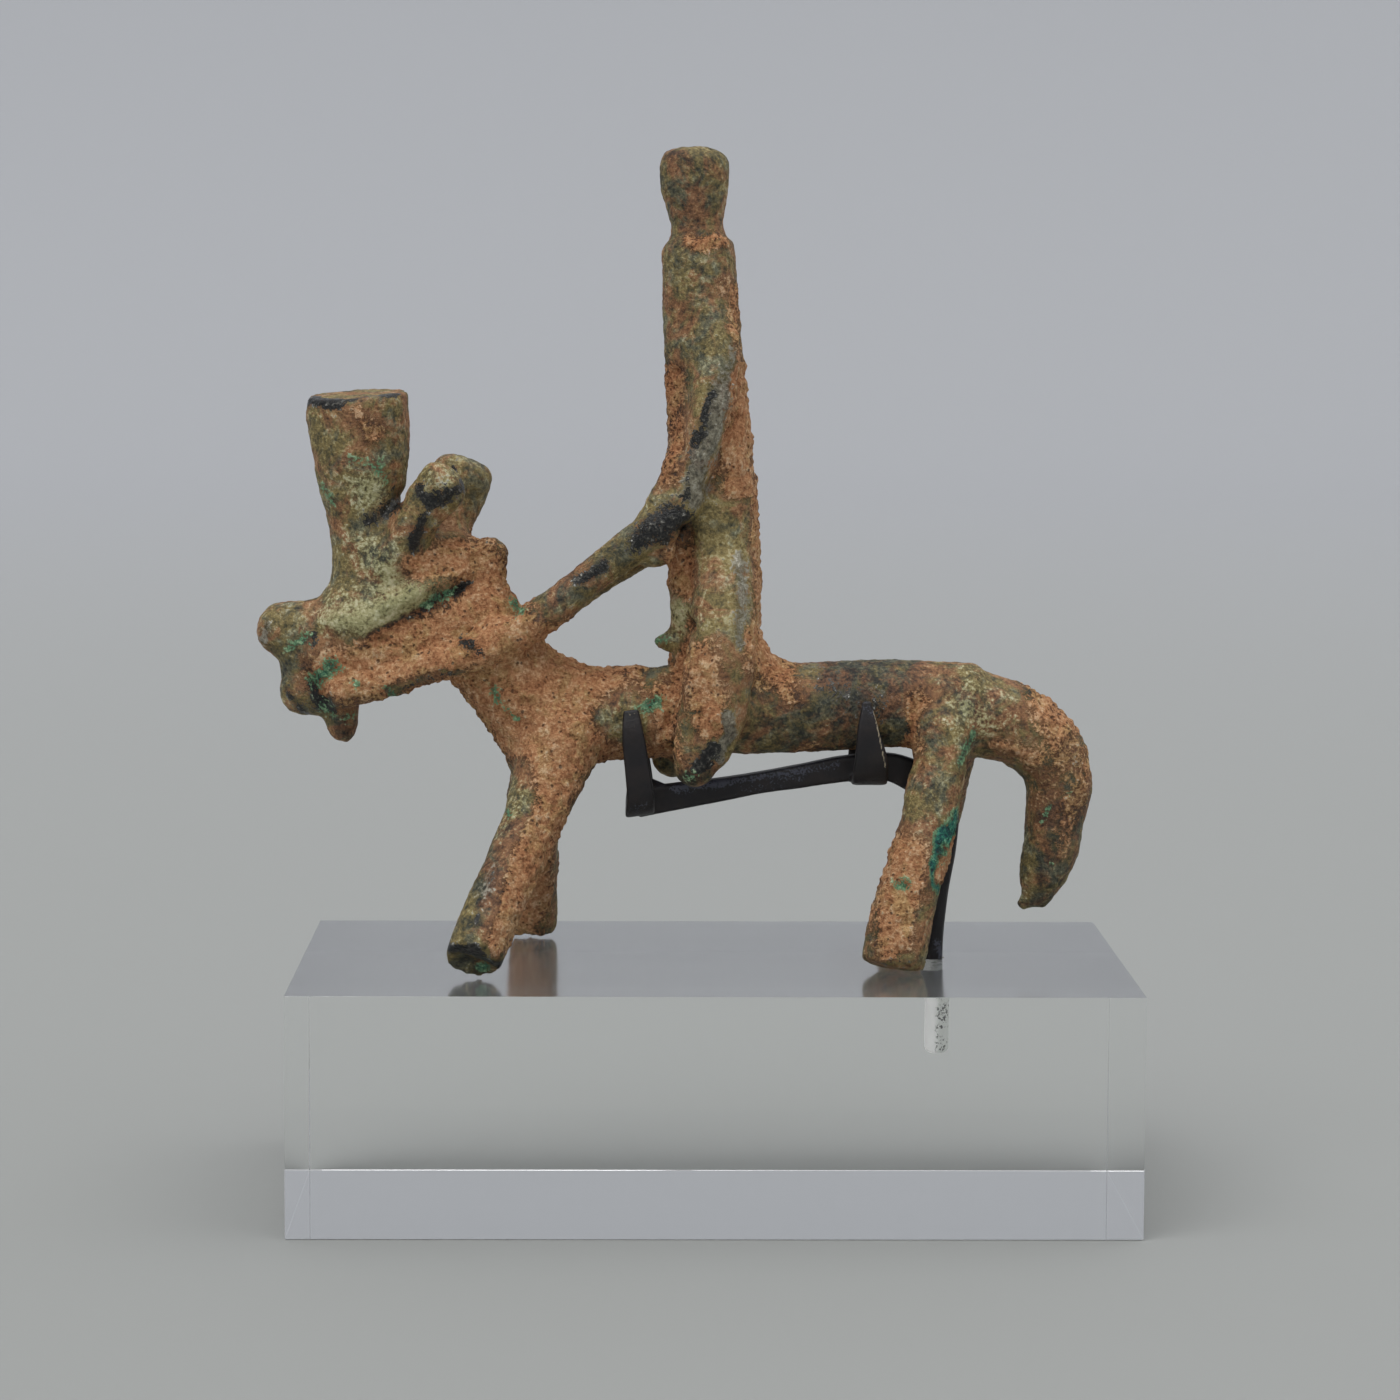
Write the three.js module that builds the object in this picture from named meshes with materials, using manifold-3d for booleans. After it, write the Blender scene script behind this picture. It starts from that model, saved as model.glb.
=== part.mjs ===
// A small solid-cast bronze horse and rider on its display mount: a black cradle whose stem stands
// in a clear block. Millimetres, +Z up. The horse faces -X, its left side faces -Y, and the origin
// is the centre of the block's underside. The figure's plane of symmetry is the block's mid plane.

import * as THREE from "three";
import { mergeVertices } from "three/addons/utils/BufferGeometryUtils.js";
import Module from "manifold-3d";

const wasm = await Module();
wasm.setup();

// Block: 3 1/2 x 2 x 1 inch of clear acrylic
const BLOCK_LENGTH = 88.9;
const BLOCK_DEPTH = 50.8;
const BLOCK_HEIGHT = 25.4;

// Cradle: a 3/32 inch rod, and the blind hole that it stands in
const ROD_RADIUS = 1.2;
const CLEARANCE = 0.3;
const HOLE_X = 24;
const HOLE_DEPTH = 8.8;
const STEM_DEPTH = 7.6;
const PRONG_THICKNESS = 1;
const FRONT_PRONG_X = -7.9;
const REAR_PRONG_X = 16.8;

// Bronze: radii of the rods that the figure is built from
const TRUNK = 4.9;
const NECK = 4.7;
const SKULL = 4.7;
const TORSO = 4.2;
const ARM = 2.2;
const REIN = 1.9;
const LEG = 3;
const EAR = 2.7;

// Bronze: the trunk's axis, the rider's seat, and how far each foot stands out from the mid plane
const TRUNK_Z = 52.8;
const SEAT_X = 0.2;
const FRONT_SPREAD = 15.6;
const HIND_SPREAD = 10.2;
const ARM_SPREAD = 4.8;
const FOOT_Z = BLOCK_HEIGHT + CLEARANCE;

// Sides of a thick and of a thin rod, and rings in each rounded end
const THICK_SIDES = 16;
const THIN_SIDES = 12;
const END_RINGS = 3;

// Rounded ends: how far an end bulges, in radii, and how square its edge is
const DOME = { length: 1, power: 2 };
const BLUNT = { length: 0.5, power: 2.6 };
const CUT = { length: 0.16, power: 3 };

const ACROSS = new THREE.Vector3(0, 1, 0);
const LENGTHWAYS = new THREE.Vector3(1, 0, 0);

/** A geometry's shared vertices merged, as a solid that can be joined and cut. */
function solidOf(geometry) {
  const bare = geometry.clone();
  bare.deleteAttribute("normal");
  bare.deleteAttribute("uv");
  const merged = mergeVertices(bare, 1e-4);
  const vertProperties = new Float32Array(merged.getAttribute("position").array);
  const triVerts = new Uint32Array(merged.index.array);
  return new wasm.Manifold(new wasm.Mesh({ numProp: 3, vertProperties, triVerts }));
}

/** The geometry of a solid, with flat facets. */
function geometryOf(solid) {
  const mesh = solid.getMesh();
  const geometry = new THREE.BufferGeometry();
  geometry.setAttribute("position", new THREE.BufferAttribute(mesh.vertProperties, 3));
  geometry.setIndex(new THREE.BufferAttribute(mesh.triVerts, 1));
  const faceted = geometry.toNonIndexed();
  faceted.computeVertexNormals();
  return faceted;
}

/** All the solids joined into one. */
function joined(solids) {
  return solids.reduce((whole, solid) => whole.add(solid));
}

/** One station of a rod: its centre, its half size in the plane of its bends, and its half width. */
function at(x, y, z, high, wide = high) {
  return { centre: new THREE.Vector3(x, y, z), size: new THREE.Vector3(high, wide, 0) };
}

/** Stations on the other side of the mid plane, each moved on by `drift` times its number. */
function otherSide(stations, drift = { x: 0, z: 0 }) {
  return stations.map(({ centre, size }, i) =>
    at(centre.x + drift.x * i, -centre.y, centre.z + drift.z * i, size.x, size.y),
  );
}

/** Where a rod's rings sit: along the curve, then how far past its end, and at what scale. */
function ringPlaces(steps, root, tip) {
  const rounded = (end, t, sign) =>
    Array.from({ length: END_RINGS }, (_, i) => {
      const angle = ((i + 1) / (END_RINGS + 1)) * (Math.PI / 2);
      const past = sign * end.length * Math.sin(angle) ** (2 / end.power);
      return { t, past, scale: Math.cos(angle) ** (2 / end.power) };
    });
  const along = Array.from({ length: steps + 1 }, (_, i) => ({ t: i / steps, past: 0, scale: 1 }));
  return [...rounded(root, 0, -1).reverse(), ...along, ...rounded(tip, 1, 1)];
}

/**
 * A rod of oval section along a smooth curve through its stations. `root` and `tip` shape its ends,
 * `side` is the direction of its half widths, and a `square` above 2 squares the section up.
 */
function rod(stations, options = {}) {
  const { root = BLUNT, tip = BLUNT, sides = THIN_SIDES, steps = 6, square = 2, side = ACROSS } = options;
  const path = new THREE.CatmullRomCurve3(stations.map((station) => station.centre));
  const sizes = new THREE.CatmullRomCurve3(stations.map((station) => station.size));
  const positions = [];
  const indices = [];
  const wide = new THREE.Vector3();
  const high = new THREE.Vector3();
  const point = new THREE.Vector3();

  const places = ringPlaces(steps, root, tip);
  for (const { t, past, scale } of places) {
    const tangent = path.getTangent(t);
    const size = sizes.getPoint(t);
    wide.copy(side).addScaledVector(tangent, -tangent.dot(side)).normalize();
    high.crossVectors(wide, tangent);
    const centre = path.getPoint(t).addScaledVector(tangent, past * Math.min(size.x, size.y));
    for (let i = 0; i < sides; i += 1) {
      const angle = ((i + 0.5) / sides) * 2 * Math.PI;
      const c = Math.cos(angle);
      const s = Math.sin(angle);
      const reach = scale * (Math.abs(c) ** square + Math.abs(s) ** square) ** (-1 / square);
      point.copy(centre);
      point.addScaledVector(high, c * reach * size.x);
      point.addScaledVector(wide, s * reach * size.y);
      positions.push(...point.toArray());
    }
  }

  const next = (i) => (i + 1) % sides;
  const lastRing = places.length - 1;
  for (let ring = 0; ring < lastRing; ring += 1) {
    const low = ring * sides;
    const top = low + sides;
    for (let i = 0; i < sides; i += 1) {
      indices.push(low + i, low + next(i), top + i, low + next(i), top + next(i), top + i);
    }
  }
  const closeEnd = (t, past, ring, sign) => {
    const size = sizes.getPoint(t);
    const reach = past * Math.min(size.x, size.y);
    const pole = path.getPoint(t).addScaledVector(path.getTangent(t), reach);
    const poleIndex = positions.length / 3;
    positions.push(...pole.toArray());
    for (let i = 0; i < sides; i += 1) {
      const a = ring * sides + i;
      const b = ring * sides + next(i);
      indices.push(poleIndex, ...(sign > 0 ? [a, b] : [b, a]));
    }
  };
  closeEnd(0, -root.length, 0, -1);
  closeEnd(1, tip.length, lastRing, 1);

  const geometry = new THREE.BufferGeometry();
  geometry.setAttribute("position", new THREE.Float32BufferAttribute(positions, 3));
  geometry.setIndex(indices);
  return solidOf(geometry);
}

/** The solid with everything past a plane cut away: the plane goes through `point`, facing `normal`. */
function cutPast(solid, point, normal) {
  const SIZE = 60;
  const box = new THREE.BoxGeometry(SIZE, SIZE, SIZE);
  box.translate(0, 0, SIZE / 2);
  const facing = new THREE.Vector3(0, 0, 1);
  box.applyQuaternion(new THREE.Quaternion().setFromUnitVectors(facing, normal.clone().normalize()));
  box.translate(point.x, point.y, point.z);
  return solid.subtract(solidOf(box));
}

/** The trunk from the chest to the rump, and the tail, bent down from it in one sweep. */
function trunkAndTail() {
  const trunk = rod(
    [
      at(-15, 0, TRUNK_Z - 0.6, 1.02 * TRUNK),
      at(-7.9, 0, TRUNK_Z - 0.8, TRUNK),
      at(0.8, 0, TRUNK_Z - 0.2, TRUNK),
      at(12, 0, TRUNK_Z + 0.3, 0.97 * TRUNK),
      at(20, 0, TRUNK_Z + 0.4, 0.98 * TRUNK),
      at(27.5, 0, TRUNK_Z, 1.02 * TRUNK),
    ],
    { root: DOME, sides: THICK_SIDES, steps: 9 },
  );
  const tail = rod(
    [
      at(24, 0, TRUNK_Z, 1.02 * TRUNK),
      at(31.3, 0, 51.6, 0.95 * TRUNK),
      at(35.2, 0, 49.1, 0.89 * TRUNK),
      at(37.4, 0, 45.6, 0.76 * TRUNK),
      at(37.3, 0, 40.6, 0.67 * TRUNK),
      at(36.9, 0, 37.2, 0.62 * TRUNK),
      at(35.9, 0, 34.2, 0.52 * TRUNK),
      at(35.3, 0, 31.8, 0.3 * TRUNK),
    ],
    { sides: THICK_SIDES, steps: 13 },
  );
  const hook = rod([at(35.2, 0, 36.4, 1.6), at(34.6, 0, 34, 1), at(34.6, 0, 31.8, 0.8)], { steps: 3 });
  return joined([trunk, tail, hook]);
}

/** The neck, rising forwards from the chest over a full breast, and the cut end of the mane. */
function neckAndMane() {
  const neck = rod(
    [
      at(-13, 0, TRUNK_Z - 0.8, 1.06 * NECK),
      at(-18.7, 0, 53.7, 1.06 * NECK),
      at(-21.6, 0, 56.1, 1.06 * NECK),
      at(-23.3, 0, 59.4, 0.98 * NECK),
      at(-24.7, 0, 63.2, 0.85 * NECK),
    ],
    { sides: THICK_SIDES, steps: 7 },
  );
  const breast = rod(
    [
      at(-26, 0, 59.6, 0.85 * NECK),
      at(-21.9, 0, 54, 0.92 * NECK),
      at(-18.6, 0, 49.6, 0.97 * NECK),
      at(-18.2, 0, 46.4, 0.8 * NECK),
    ],
    { sides: THICK_SIDES, steps: 5 },
  );
  const mane = rod([at(-24.6, 0, 62, 3), at(-24.4, 0, 66.5, 2.3), at(-24.3, 0, 69.4, 2.1)], {
    tip: { length: 0.5, power: 3 },
    steps: 4,
    square: 2.6,
  });
  return joined([neck, breast, mane]);
}

/** The head: a thick bar with an upper and a lower lip and a small knob under the jaw. */
function head() {
  const skull = rod(
    [
      at(-44, 0, 58.4, 0.68 * SKULL),
      at(-40.3, 0, 58.9, 0.96 * SKULL),
      at(-34.9, 0, 60, 1.04 * SKULL),
      at(-29.5, 0, 61.7, 1.04 * SKULL),
      at(-25.2, 0, 63.7, 0.88 * SKULL),
    ],
    { root: DOME, sides: THICK_SIDES, steps: 7 },
  );
  const upperLip = rod([at(-41.2, 0, 61.4, 3), at(-46.3, 0, 61.1, 3)], { tip: DOME, steps: 2 });
  const lowerLip = rod([at(-40.4, 0, 57.2, 3.4), at(-44, 0, 54.6, 2.9)], { tip: DOME, steps: 2 });
  const knob = rod([at(-41, 0, 54, 2.9), at(-39.8, 0, 51, 1.7), at(-39.7, 0, 49.9, 1.2)], {
    tip: DOME,
    steps: 3,
  });
  return joined([skull, upperLip, lowerLip, knob]);
}

/** The tall headdress: a waisted column that flares to a flat, slightly tilted top. */
function headdress() {
  const TOP_Z = 85.9;
  const column = rod(
    [
      at(-37.5, 0, 62.4, 5.8),
      at(-37.4, 0, 64.5, 4.7),
      at(-37.3, 0, 67.4, 3.7),
      at(-37.6, 0, 71.8, 3.9),
      at(-37.8, 0, 75, 4.4),
      at(-37.9, 0, 78.3, 5.05),
      at(-38.4, 0, TOP_Z + 2, 5.6),
    ],
    { sides: THICK_SIDES + 4, steps: 10 },
  );
  return cutPast(column, new THREE.Vector3(-38.4, 0, TOP_Z), new THREE.Vector3(-0.06, -0.15, 1));
}

/** Two thick ears, spread sideways behind the headdress, and the lump that they rise from. */
function ears() {
  const end = { length: 0.6, power: 2.8 };
  const left = rod(
    [at(-34.8, -2.4, 67.8, EAR), at(-32.3, -3.6, 72.9, EAR), at(-28.9, -4.8, 76.8, EAR)],
    { tip: end, steps: 4 },
  );
  const right = rod(
    [at(-31, 2.6, 67.6, 1.1 * EAR), at(-29, 3.8, 72.7, 1.2 * EAR), at(-27.3, 4.6, 77.4, 1.22 * EAR)],
    { tip: end, steps: 4 },
  );
  const lump = rod([at(-36, 0, 65, 4.3), at(-31, 0, 67.8, 4.2), at(-26.6, 0, 68.4, 3.4)], { steps: 4 });
  return joined([left, right, lump]);
}

/** The four legs, each a plain rod spread outwards and cut off square at the foot. */
function legs() {
  const options = { tip: CUT, sides: THICK_SIDES - 2, steps: 7 };
  const leftFront = rod(
    [
      at(-15.8, -2.4, 50.4, 1.5 * LEG),
      at(-17.4, -4.4, 46.4, 1.34 * LEG),
      at(-19.2, -7.5, 41.6, 1.05 * LEG),
      at(-22.2, -11.6, 35.2, LEG),
      at(-24.3, -14.3, 30.9, 0.95 * LEG),
      at(-25.8, -FRONT_SPREAD - 0.7, 26.6, 0.95 * LEG),
    ],
    options,
  );
  const rightFront = rod(
    [
      at(-17.4, 2.4, 48.6, 1.3 * LEG),
      at(-19.2, 6, 42.9, 1.1 * LEG),
      at(-19.7, 9.2, 38.1, 0.95 * LEG),
      at(-19.7, 12.6, 32, 0.92 * LEG),
      at(-19.7, FRONT_SPREAD - 0.3, FOOT_Z + 1.9, 0.9 * LEG),
    ],
    options,
  );
  const leftHind = rod(
    [
      at(24.6, -3.2, 50.6, 1.18 * LEG),
      at(24.1, -4.9, 46.5, 1.02 * LEG),
      at(23.3, -6, 42.1, 1.03 * LEG),
      at(22.3, -7.2, 38.2, 1.03 * LEG),
      at(20.7, -8.7, 33.4, 1.05 * LEG),
      at(19.1, -HIND_SPREAD, FOOT_Z + 1.3, 1.07 * LEG),
    ],
    options,
  );
  const rightHind = rod(
    [
      at(25.9, 3.2, 49.6, 1.16 * LEG),
      at(25.5, 5, 45, LEG),
      at(24.7, 6.1, 40.7, LEG),
      at(22.8, 8.3, 32.9, LEG),
      at(21.3, HIND_SPREAD, FOOT_Z + 1.2, LEG),
    ],
    options,
  );
  const leftFoot = new THREE.Vector3(-24.9, -FRONT_SPREAD, FOOT_Z + 2);
  return joined([
    cutPast(leftFront, leftFoot, new THREE.Vector3(-0.2, -0.66, -0.73)),
    rightFront,
    leftHind,
    rightHind,
  ]);
}

/** The rider's body from the saddle up, and the head, a peg that widens to its top. */
function riderBody() {
  const torso = rod(
    [
      at(SEAT_X + 1.6, 0, 55.4, 1.4 * TORSO, 1.1 * TORSO),
      at(SEAT_X + 0.3, 0, 60, 1.18 * TORSO, 1.05 * TORSO),
      at(SEAT_X, 0, 66, 1.18 * TORSO, TORSO),
      at(SEAT_X - 0.3, 0, 76, 1.16 * TORSO, 1.05 * TORSO),
      at(SEAT_X - 0.8, 0, 85, 1.05 * TORSO, 1.08 * TORSO),
      at(SEAT_X - 1.5, 0, 93.4, 0.97 * TORSO, 1.08 * TORSO),
      at(SEAT_X - 1.9, 0, 102, 0.93 * TORSO, TORSO),
    ],
    { tip: { length: 0.36, power: 3 }, sides: THICK_SIDES, steps: 10 },
  );
  const peg = rod(
    [
      at(SEAT_X - 1.9, 0, 101.5, 2.9),
      at(SEAT_X - 2.1, 0, 104.5, 2.75),
      at(SEAT_X - 2.35, 0, 106.5, 3.1),
      at(SEAT_X - 2.5, 0, 109.6, 3.65),
      at(SEAT_X - 2.5, 0, 111, 3.6),
    ],
    { tip: { length: 0.55, power: 2.6 }, sides: THICK_SIDES, steps: 6 },
  );
  return joined([torso, peg]);
}

/** Both arms and the reins that they hold: one line from the shoulder over the hand to the mouth. */
function armsAndReins() {
  const arm = [
    at(-0.8, -2.6, 96, 0.9 * ARM),
    at(0, -0.8 * ARM_SPREAD, 91, ARM),
    at(-0.3, -0.97 * ARM_SPREAD, 87, ARM),
    at(-1, -1.04 * ARM_SPREAD, 82.8, ARM),
    at(-2.3, -1.06 * ARM_SPREAD, 78.6, 0.97 * ARM),
    at(-4.3, -1.02 * ARM_SPREAD, 75, 0.97 * ARM),
    at(-6.4, -0.97 * ARM_SPREAD, 72.6, 1.05 * ARM),
  ];
  const rein = [
    at(-4.8, -0.97 * ARM_SPREAD, 73.4, 1.2 * REIN),
    at(-7.4, -0.95 * ARM_SPREAD, 71.5, 1.12 * REIN),
    at(-12.2, -0.95 * ARM_SPREAD, 67.9, REIN),
    at(-16.5, -1.02 * ARM_SPREAD, 64.4, REIN),
    at(-20.7, -1.08 * ARM_SPREAD, 61.4, 1.1 * REIN),
    at(-24.8, -1.06 * ARM_SPREAD, 59.2, 1.05 * REIN),
    at(-30, -1.02 * ARM_SPREAD, 57.6, 0.9 * REIN),
    at(-35.1, -0.92 * ARM_SPREAD, 55.7, 0.88 * REIN),
    at(-40, -0.7 * ARM_SPREAD, 54.5, 0.9 * REIN),
  ];
  const lowerRein = otherSide(rein);
  lowerRein.forEach(({ centre }, i) => {
    centre.z -= Math.max(0, 2.2 - 0.45 * i);
  });
  return joined([
    rod(arm, { tip: DOME, steps: 10 }),
    rod(rein, { tip: DOME, steps: 13 }),
    rod(otherSide(arm, { x: -0.1, z: -0.4 }), { tip: DOME, steps: 10 }),
    rod(lowerRein, { tip: DOME, steps: 13 }),
  ]);
}

/** The rider's legs, pressed to the horse's sides, with round toes below the belly. */
function riderLegs() {
  const options = { tip: DOME, sides: THICK_SIDES - 2, steps: 7 };
  const left = [
    at(0.5, -2, 69, 3.6, 2.8),
    at(0.9, -4.2, 63.7, 3.9, 3),
    at(0.3, -5.6, 58.4, 4, 3),
    at(-0.3, -6.1, 53.6, 4, 2.8),
    at(-0.8, -6.3, 49.8, 3.4, 2.6),
    at(-2.1, -6.4, 46.9, 2.3, 2.1),
  ];
  const point = rod([at(-3.6, 0, 60, 1.6), at(-6.1, 0, 59.9, 0.5)], { steps: 2 });
  return joined([rod(left, options), rod(otherSide(left, { x: -0.45, z: -0.1 }), options), point]);
}

/** The whole casting. */
function horseAndRider() {
  return joined([
    trunkAndTail(),
    neckAndMane(),
    head(),
    headdress(),
    ears(),
    legs(),
    riderBody(),
    armsAndReins(),
    riderLegs(),
  ]);
}

/** A pair of prongs: one flat strip bent into a U round the belly, tapered to its two tips. */
function prongPair({ x, foot, tip, footWidth, tipWidth, lean }) {
  const half = PRONG_THICKNESS / 2;
  const inside = TRUNK + CLEARANCE + half;
  const oneSide = (side) => [
    at(x + lean, side * (inside + 0.1), tip, 0.8 * half, tipWidth),
    at(x + 0.7 * lean, side * (inside + 0.7), tip - 3, half, 0.72 * tipWidth + 0.28 * footWidth),
    at(x, side * (inside + 0.5), foot + 2.6, half, 0.9 * footWidth),
    at(x, side * (inside - 1.3), foot + 0.3, half, footWidth),
  ];
  const stations = [...oneSide(-1), at(x, 0, foot - 0.1, half, footWidth), ...oneSide(1).reverse()];
  return rod(stations, { side: LENGTHWAYS, square: 5, steps: 22 });
}

/** The cradle: a flat-sided bar under the belly, its stem and its two pairs of prongs. */
function cradle() {
  const bar = rod(
    [
      at(-8, 0, 42.4, 1.6, ROD_RADIUS),
      at(-5.6, 0, 42.8, 1.5, ROD_RADIUS),
      at(0.8, 0, 43.8, 1.25, ROD_RADIUS),
      at(5.2, 0, 44.6, 1.15, ROD_RADIUS),
      at(9.5, 0, 45.3, 1.25, ROD_RADIUS),
      at(13.9, 0, 45.9, 1.5, ROD_RADIUS),
      at(18.8, 0, 45.8, 1.6, ROD_RADIUS),
      at(22, 0, 44.9, 1.5, ROD_RADIUS),
    ],
    { square: 5, steps: 12 },
  );
  const stem = rod(
    [
      at(20.5, 0, 45.4, ROD_RADIUS),
      at(23.7, 0, 44.4, ROD_RADIUS),
      at(25.5, 0, 41.8, ROD_RADIUS),
      at(25.4, 0, 37.8, ROD_RADIUS),
      at(24.6, 0, 33, ROD_RADIUS),
      at(24.1, 0, 28.5, ROD_RADIUS),
      at(HOLE_X, 0, BLOCK_HEIGHT, ROD_RADIUS),
      at(HOLE_X, 0, BLOCK_HEIGHT - STEM_DEPTH, ROD_RADIUS),
    ],
    { tip: CUT, sides: THICK_SIDES, steps: 16 },
  );
  const front = prongPair({ x: FRONT_PRONG_X, foot: 42.2, tip: 52.9, footWidth: 1.2, tipWidth: 0.7, lean: -0.5 });
  const rear = prongPair({ x: REAR_PRONG_X, foot: 45.2, tip: 53.9, footWidth: 1.8, tipWidth: 0.5, lean: -0.6 });
  return joined([bar, stem, front, rear]);
}

/** The clear block with its blind hole, round at the bottom, for the stem. */
function acrylicBlock() {
  const box = new THREE.BoxGeometry(BLOCK_LENGTH, BLOCK_DEPTH, BLOCK_HEIGHT);
  box.translate(0, 0, BLOCK_HEIGHT / 2);
  const radius = ROD_RADIUS + CLEARANCE;
  const bottom = BLOCK_HEIGHT - HOLE_DEPTH;
  const profile = new THREE.Path();
  profile.moveTo(0, bottom);
  profile.quadraticCurveTo(radius, bottom, radius, bottom + radius);
  profile.lineTo(radius, BLOCK_HEIGHT + 1);
  profile.lineTo(0, BLOCK_HEIGHT + 1);
  const drill = new THREE.LatheGeometry(profile.getPoints(5), 24);
  drill.rotateX(Math.PI / 2);
  drill.translate(HOLE_X, 0, 0);
  return solidOf(box).subtract(solidOf(drill));
}

/** A named mesh of a solid in its material. */
function meshOf(name, solid, material) {
  const mesh = new THREE.Mesh(geometryOf(solid), material);
  mesh.name = name;
  return mesh;
}

const corrodedBronze = new THREE.MeshStandardMaterial({ color: 0x7a6244, roughness: 0.75, metalness: 0.3 });
const blackPaint = new THREE.MeshStandardMaterial({ color: 0x1f1d20, roughness: 0.5, metalness: 0.1 });
const clearAcrylic = new THREE.MeshStandardMaterial({
  color: 0xe4ebea,
  roughness: 0.05,
  metalness: 0,
  transparent: true,
  opacity: 0.3,
});

const horseOnMount = new THREE.Group();
horseOnMount.add(meshOf("acrylic_block", acrylicBlock(), clearAcrylic));
horseOnMount.add(meshOf("cradle", cradle(), blackPaint));
horseOnMount.add(meshOf("horse_and_rider", horseAndRider(), corrodedBronze));

export default horseOnMount;
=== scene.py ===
"""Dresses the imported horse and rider: the corroded casting, its black cradle and the clear block.

Every length is in millimetres until a mesh is made, and a mesh is in metres. The horse faces -X and
its left side, the near one, faces -Y, towards the camera.
"""

from __future__ import annotations

import logging
import math
from dataclasses import dataclass, field
from enum import Enum
from typing import Any, Iterable, Sequence, Union

import bpy
import numpy as np
from mathutils import Matrix, Vector

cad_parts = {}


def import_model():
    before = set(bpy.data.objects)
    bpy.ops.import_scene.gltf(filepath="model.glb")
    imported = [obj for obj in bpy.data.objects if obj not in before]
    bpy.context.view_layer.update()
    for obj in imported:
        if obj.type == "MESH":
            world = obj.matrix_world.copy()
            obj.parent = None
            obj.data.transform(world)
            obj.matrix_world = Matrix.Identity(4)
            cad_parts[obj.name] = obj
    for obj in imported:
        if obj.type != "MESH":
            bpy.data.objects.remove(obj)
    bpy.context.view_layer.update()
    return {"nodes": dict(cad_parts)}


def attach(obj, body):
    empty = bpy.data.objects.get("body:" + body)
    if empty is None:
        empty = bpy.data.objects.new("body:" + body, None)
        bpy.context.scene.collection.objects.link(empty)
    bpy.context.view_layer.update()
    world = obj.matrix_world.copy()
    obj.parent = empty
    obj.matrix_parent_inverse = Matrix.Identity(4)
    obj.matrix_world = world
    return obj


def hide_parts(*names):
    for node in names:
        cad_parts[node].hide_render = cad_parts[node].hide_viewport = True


LOG = logging.getLogger("horse_and_rider")
MM = 0.001
BODY = "root"
# Whole numbers that scatter the bits of a lattice cell's own numbers.
CELL_FACTORS = (374761393, 668265263, 1442695041)
SEED_FACTOR = 97531
MIXING_FACTOR = 1274126177
# How far a grain may lie from the middle of its cell.
GRAIN_SCATTER = 0.42
# CAD corners that fall in the same step of a millimetre are one.
WELDS_PER_MM = 500
# The rings past a rod's end, how fast they shrink, and the size of the last one.
END_RINGS = 6
END_ROUNDNESS = 0.8
END_POLE = 0.02
NOISE_MEAN = 0.5
# Where a colour ramp's stops start and how far they reach.
RAMP_START = 0.08
RAMP_SPAN = 0.84
# The Mix node's numbers for its two colours and its mixed colour.
MIX_COLOURS = (6, 7)
MIX_RESULT = 2

Array = np.ndarray
Colour = tuple[float, float, float]
Stops = tuple[tuple[float, Colour], ...]
Cut = tuple[float, float]
Station = tuple[float, float, float, float, float]


def srgb(red: int, green: int, blue: int) -> Colour:
    """The linear colour of a display colour: each channel goes through the sRGB curve.

    Args:
        red: from 0 to 255.
        green: from 0 to 255.
        blue: from 0 to 255.

    Returns:
        Three channels from 0 to 1.
    """

    def linear(channel: float) -> float:
        """One channel, from 0 to 255."""
        part = channel / 255
        return part / 12.92 if part <= 0.04045 else ((part + 0.055) / 1.055) ** 2.4

    return linear(red), linear(green), linear(blue)


def ease(values: Array, low: float, high: float) -> Array:
    """A smooth step from 0 at `low` to 1 at `high`: t squared times (3 - 2t)."""
    t = np.clip((values - low) / (high - low), 0, 1)
    return t * t * (3 - 2 * t)


def scattered(cells: Array, seed: int) -> Array:
    """A number from -1 to 1 for each row of whole numbers, by mixing their bits.

    Args:
        cells: whole numbers, three to a row.
        seed: gives another set of numbers.

    Returns:
        One number to a row.
    """
    mixed = cells @ np.array(CELL_FACTORS) + seed * SEED_FACTOR
    mixed = (mixed ^ (mixed >> 13)) * MIXING_FACTOR
    mixed = mixed ^ (mixed >> 16)
    return (mixed & 0xFFFFFF) / 0x7FFFFF - 1


def ripple(points: Array, wavelength: float, seed: int) -> Array:
    """Smooth noise from -1 to 1: a lattice of random numbers, blended with eased weights.

    Args:
        points: places in millimetres.
        wavelength: the lattice's step in millimetres.
        seed: gives another pattern.

    Returns:
        One number to a point.
    """
    places = points / wavelength
    cells = np.floor(places).astype(np.int64)
    part = places - cells
    part = part * part * (3 - 2 * part)
    total = np.zeros(len(points))
    for corner in np.ndindex(2, 2, 2):
        step = np.array(corner)
        total += np.prod(np.where(step, part, 1 - part), axis=1) * scattered(cells + step, seed)
    return total


def rubble(points: Array, wavelength: float, octaves: int, seed: int) -> Array:
    """Layers of `ripple`, each with half the wavelength and half the height of the one before."""
    layers = [ripple(points, wavelength / 2**i, seed + i) / 2**i for i in range(octaves)]
    return sum(layers) / sum(0.5**i for i in range(octaves))


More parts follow.
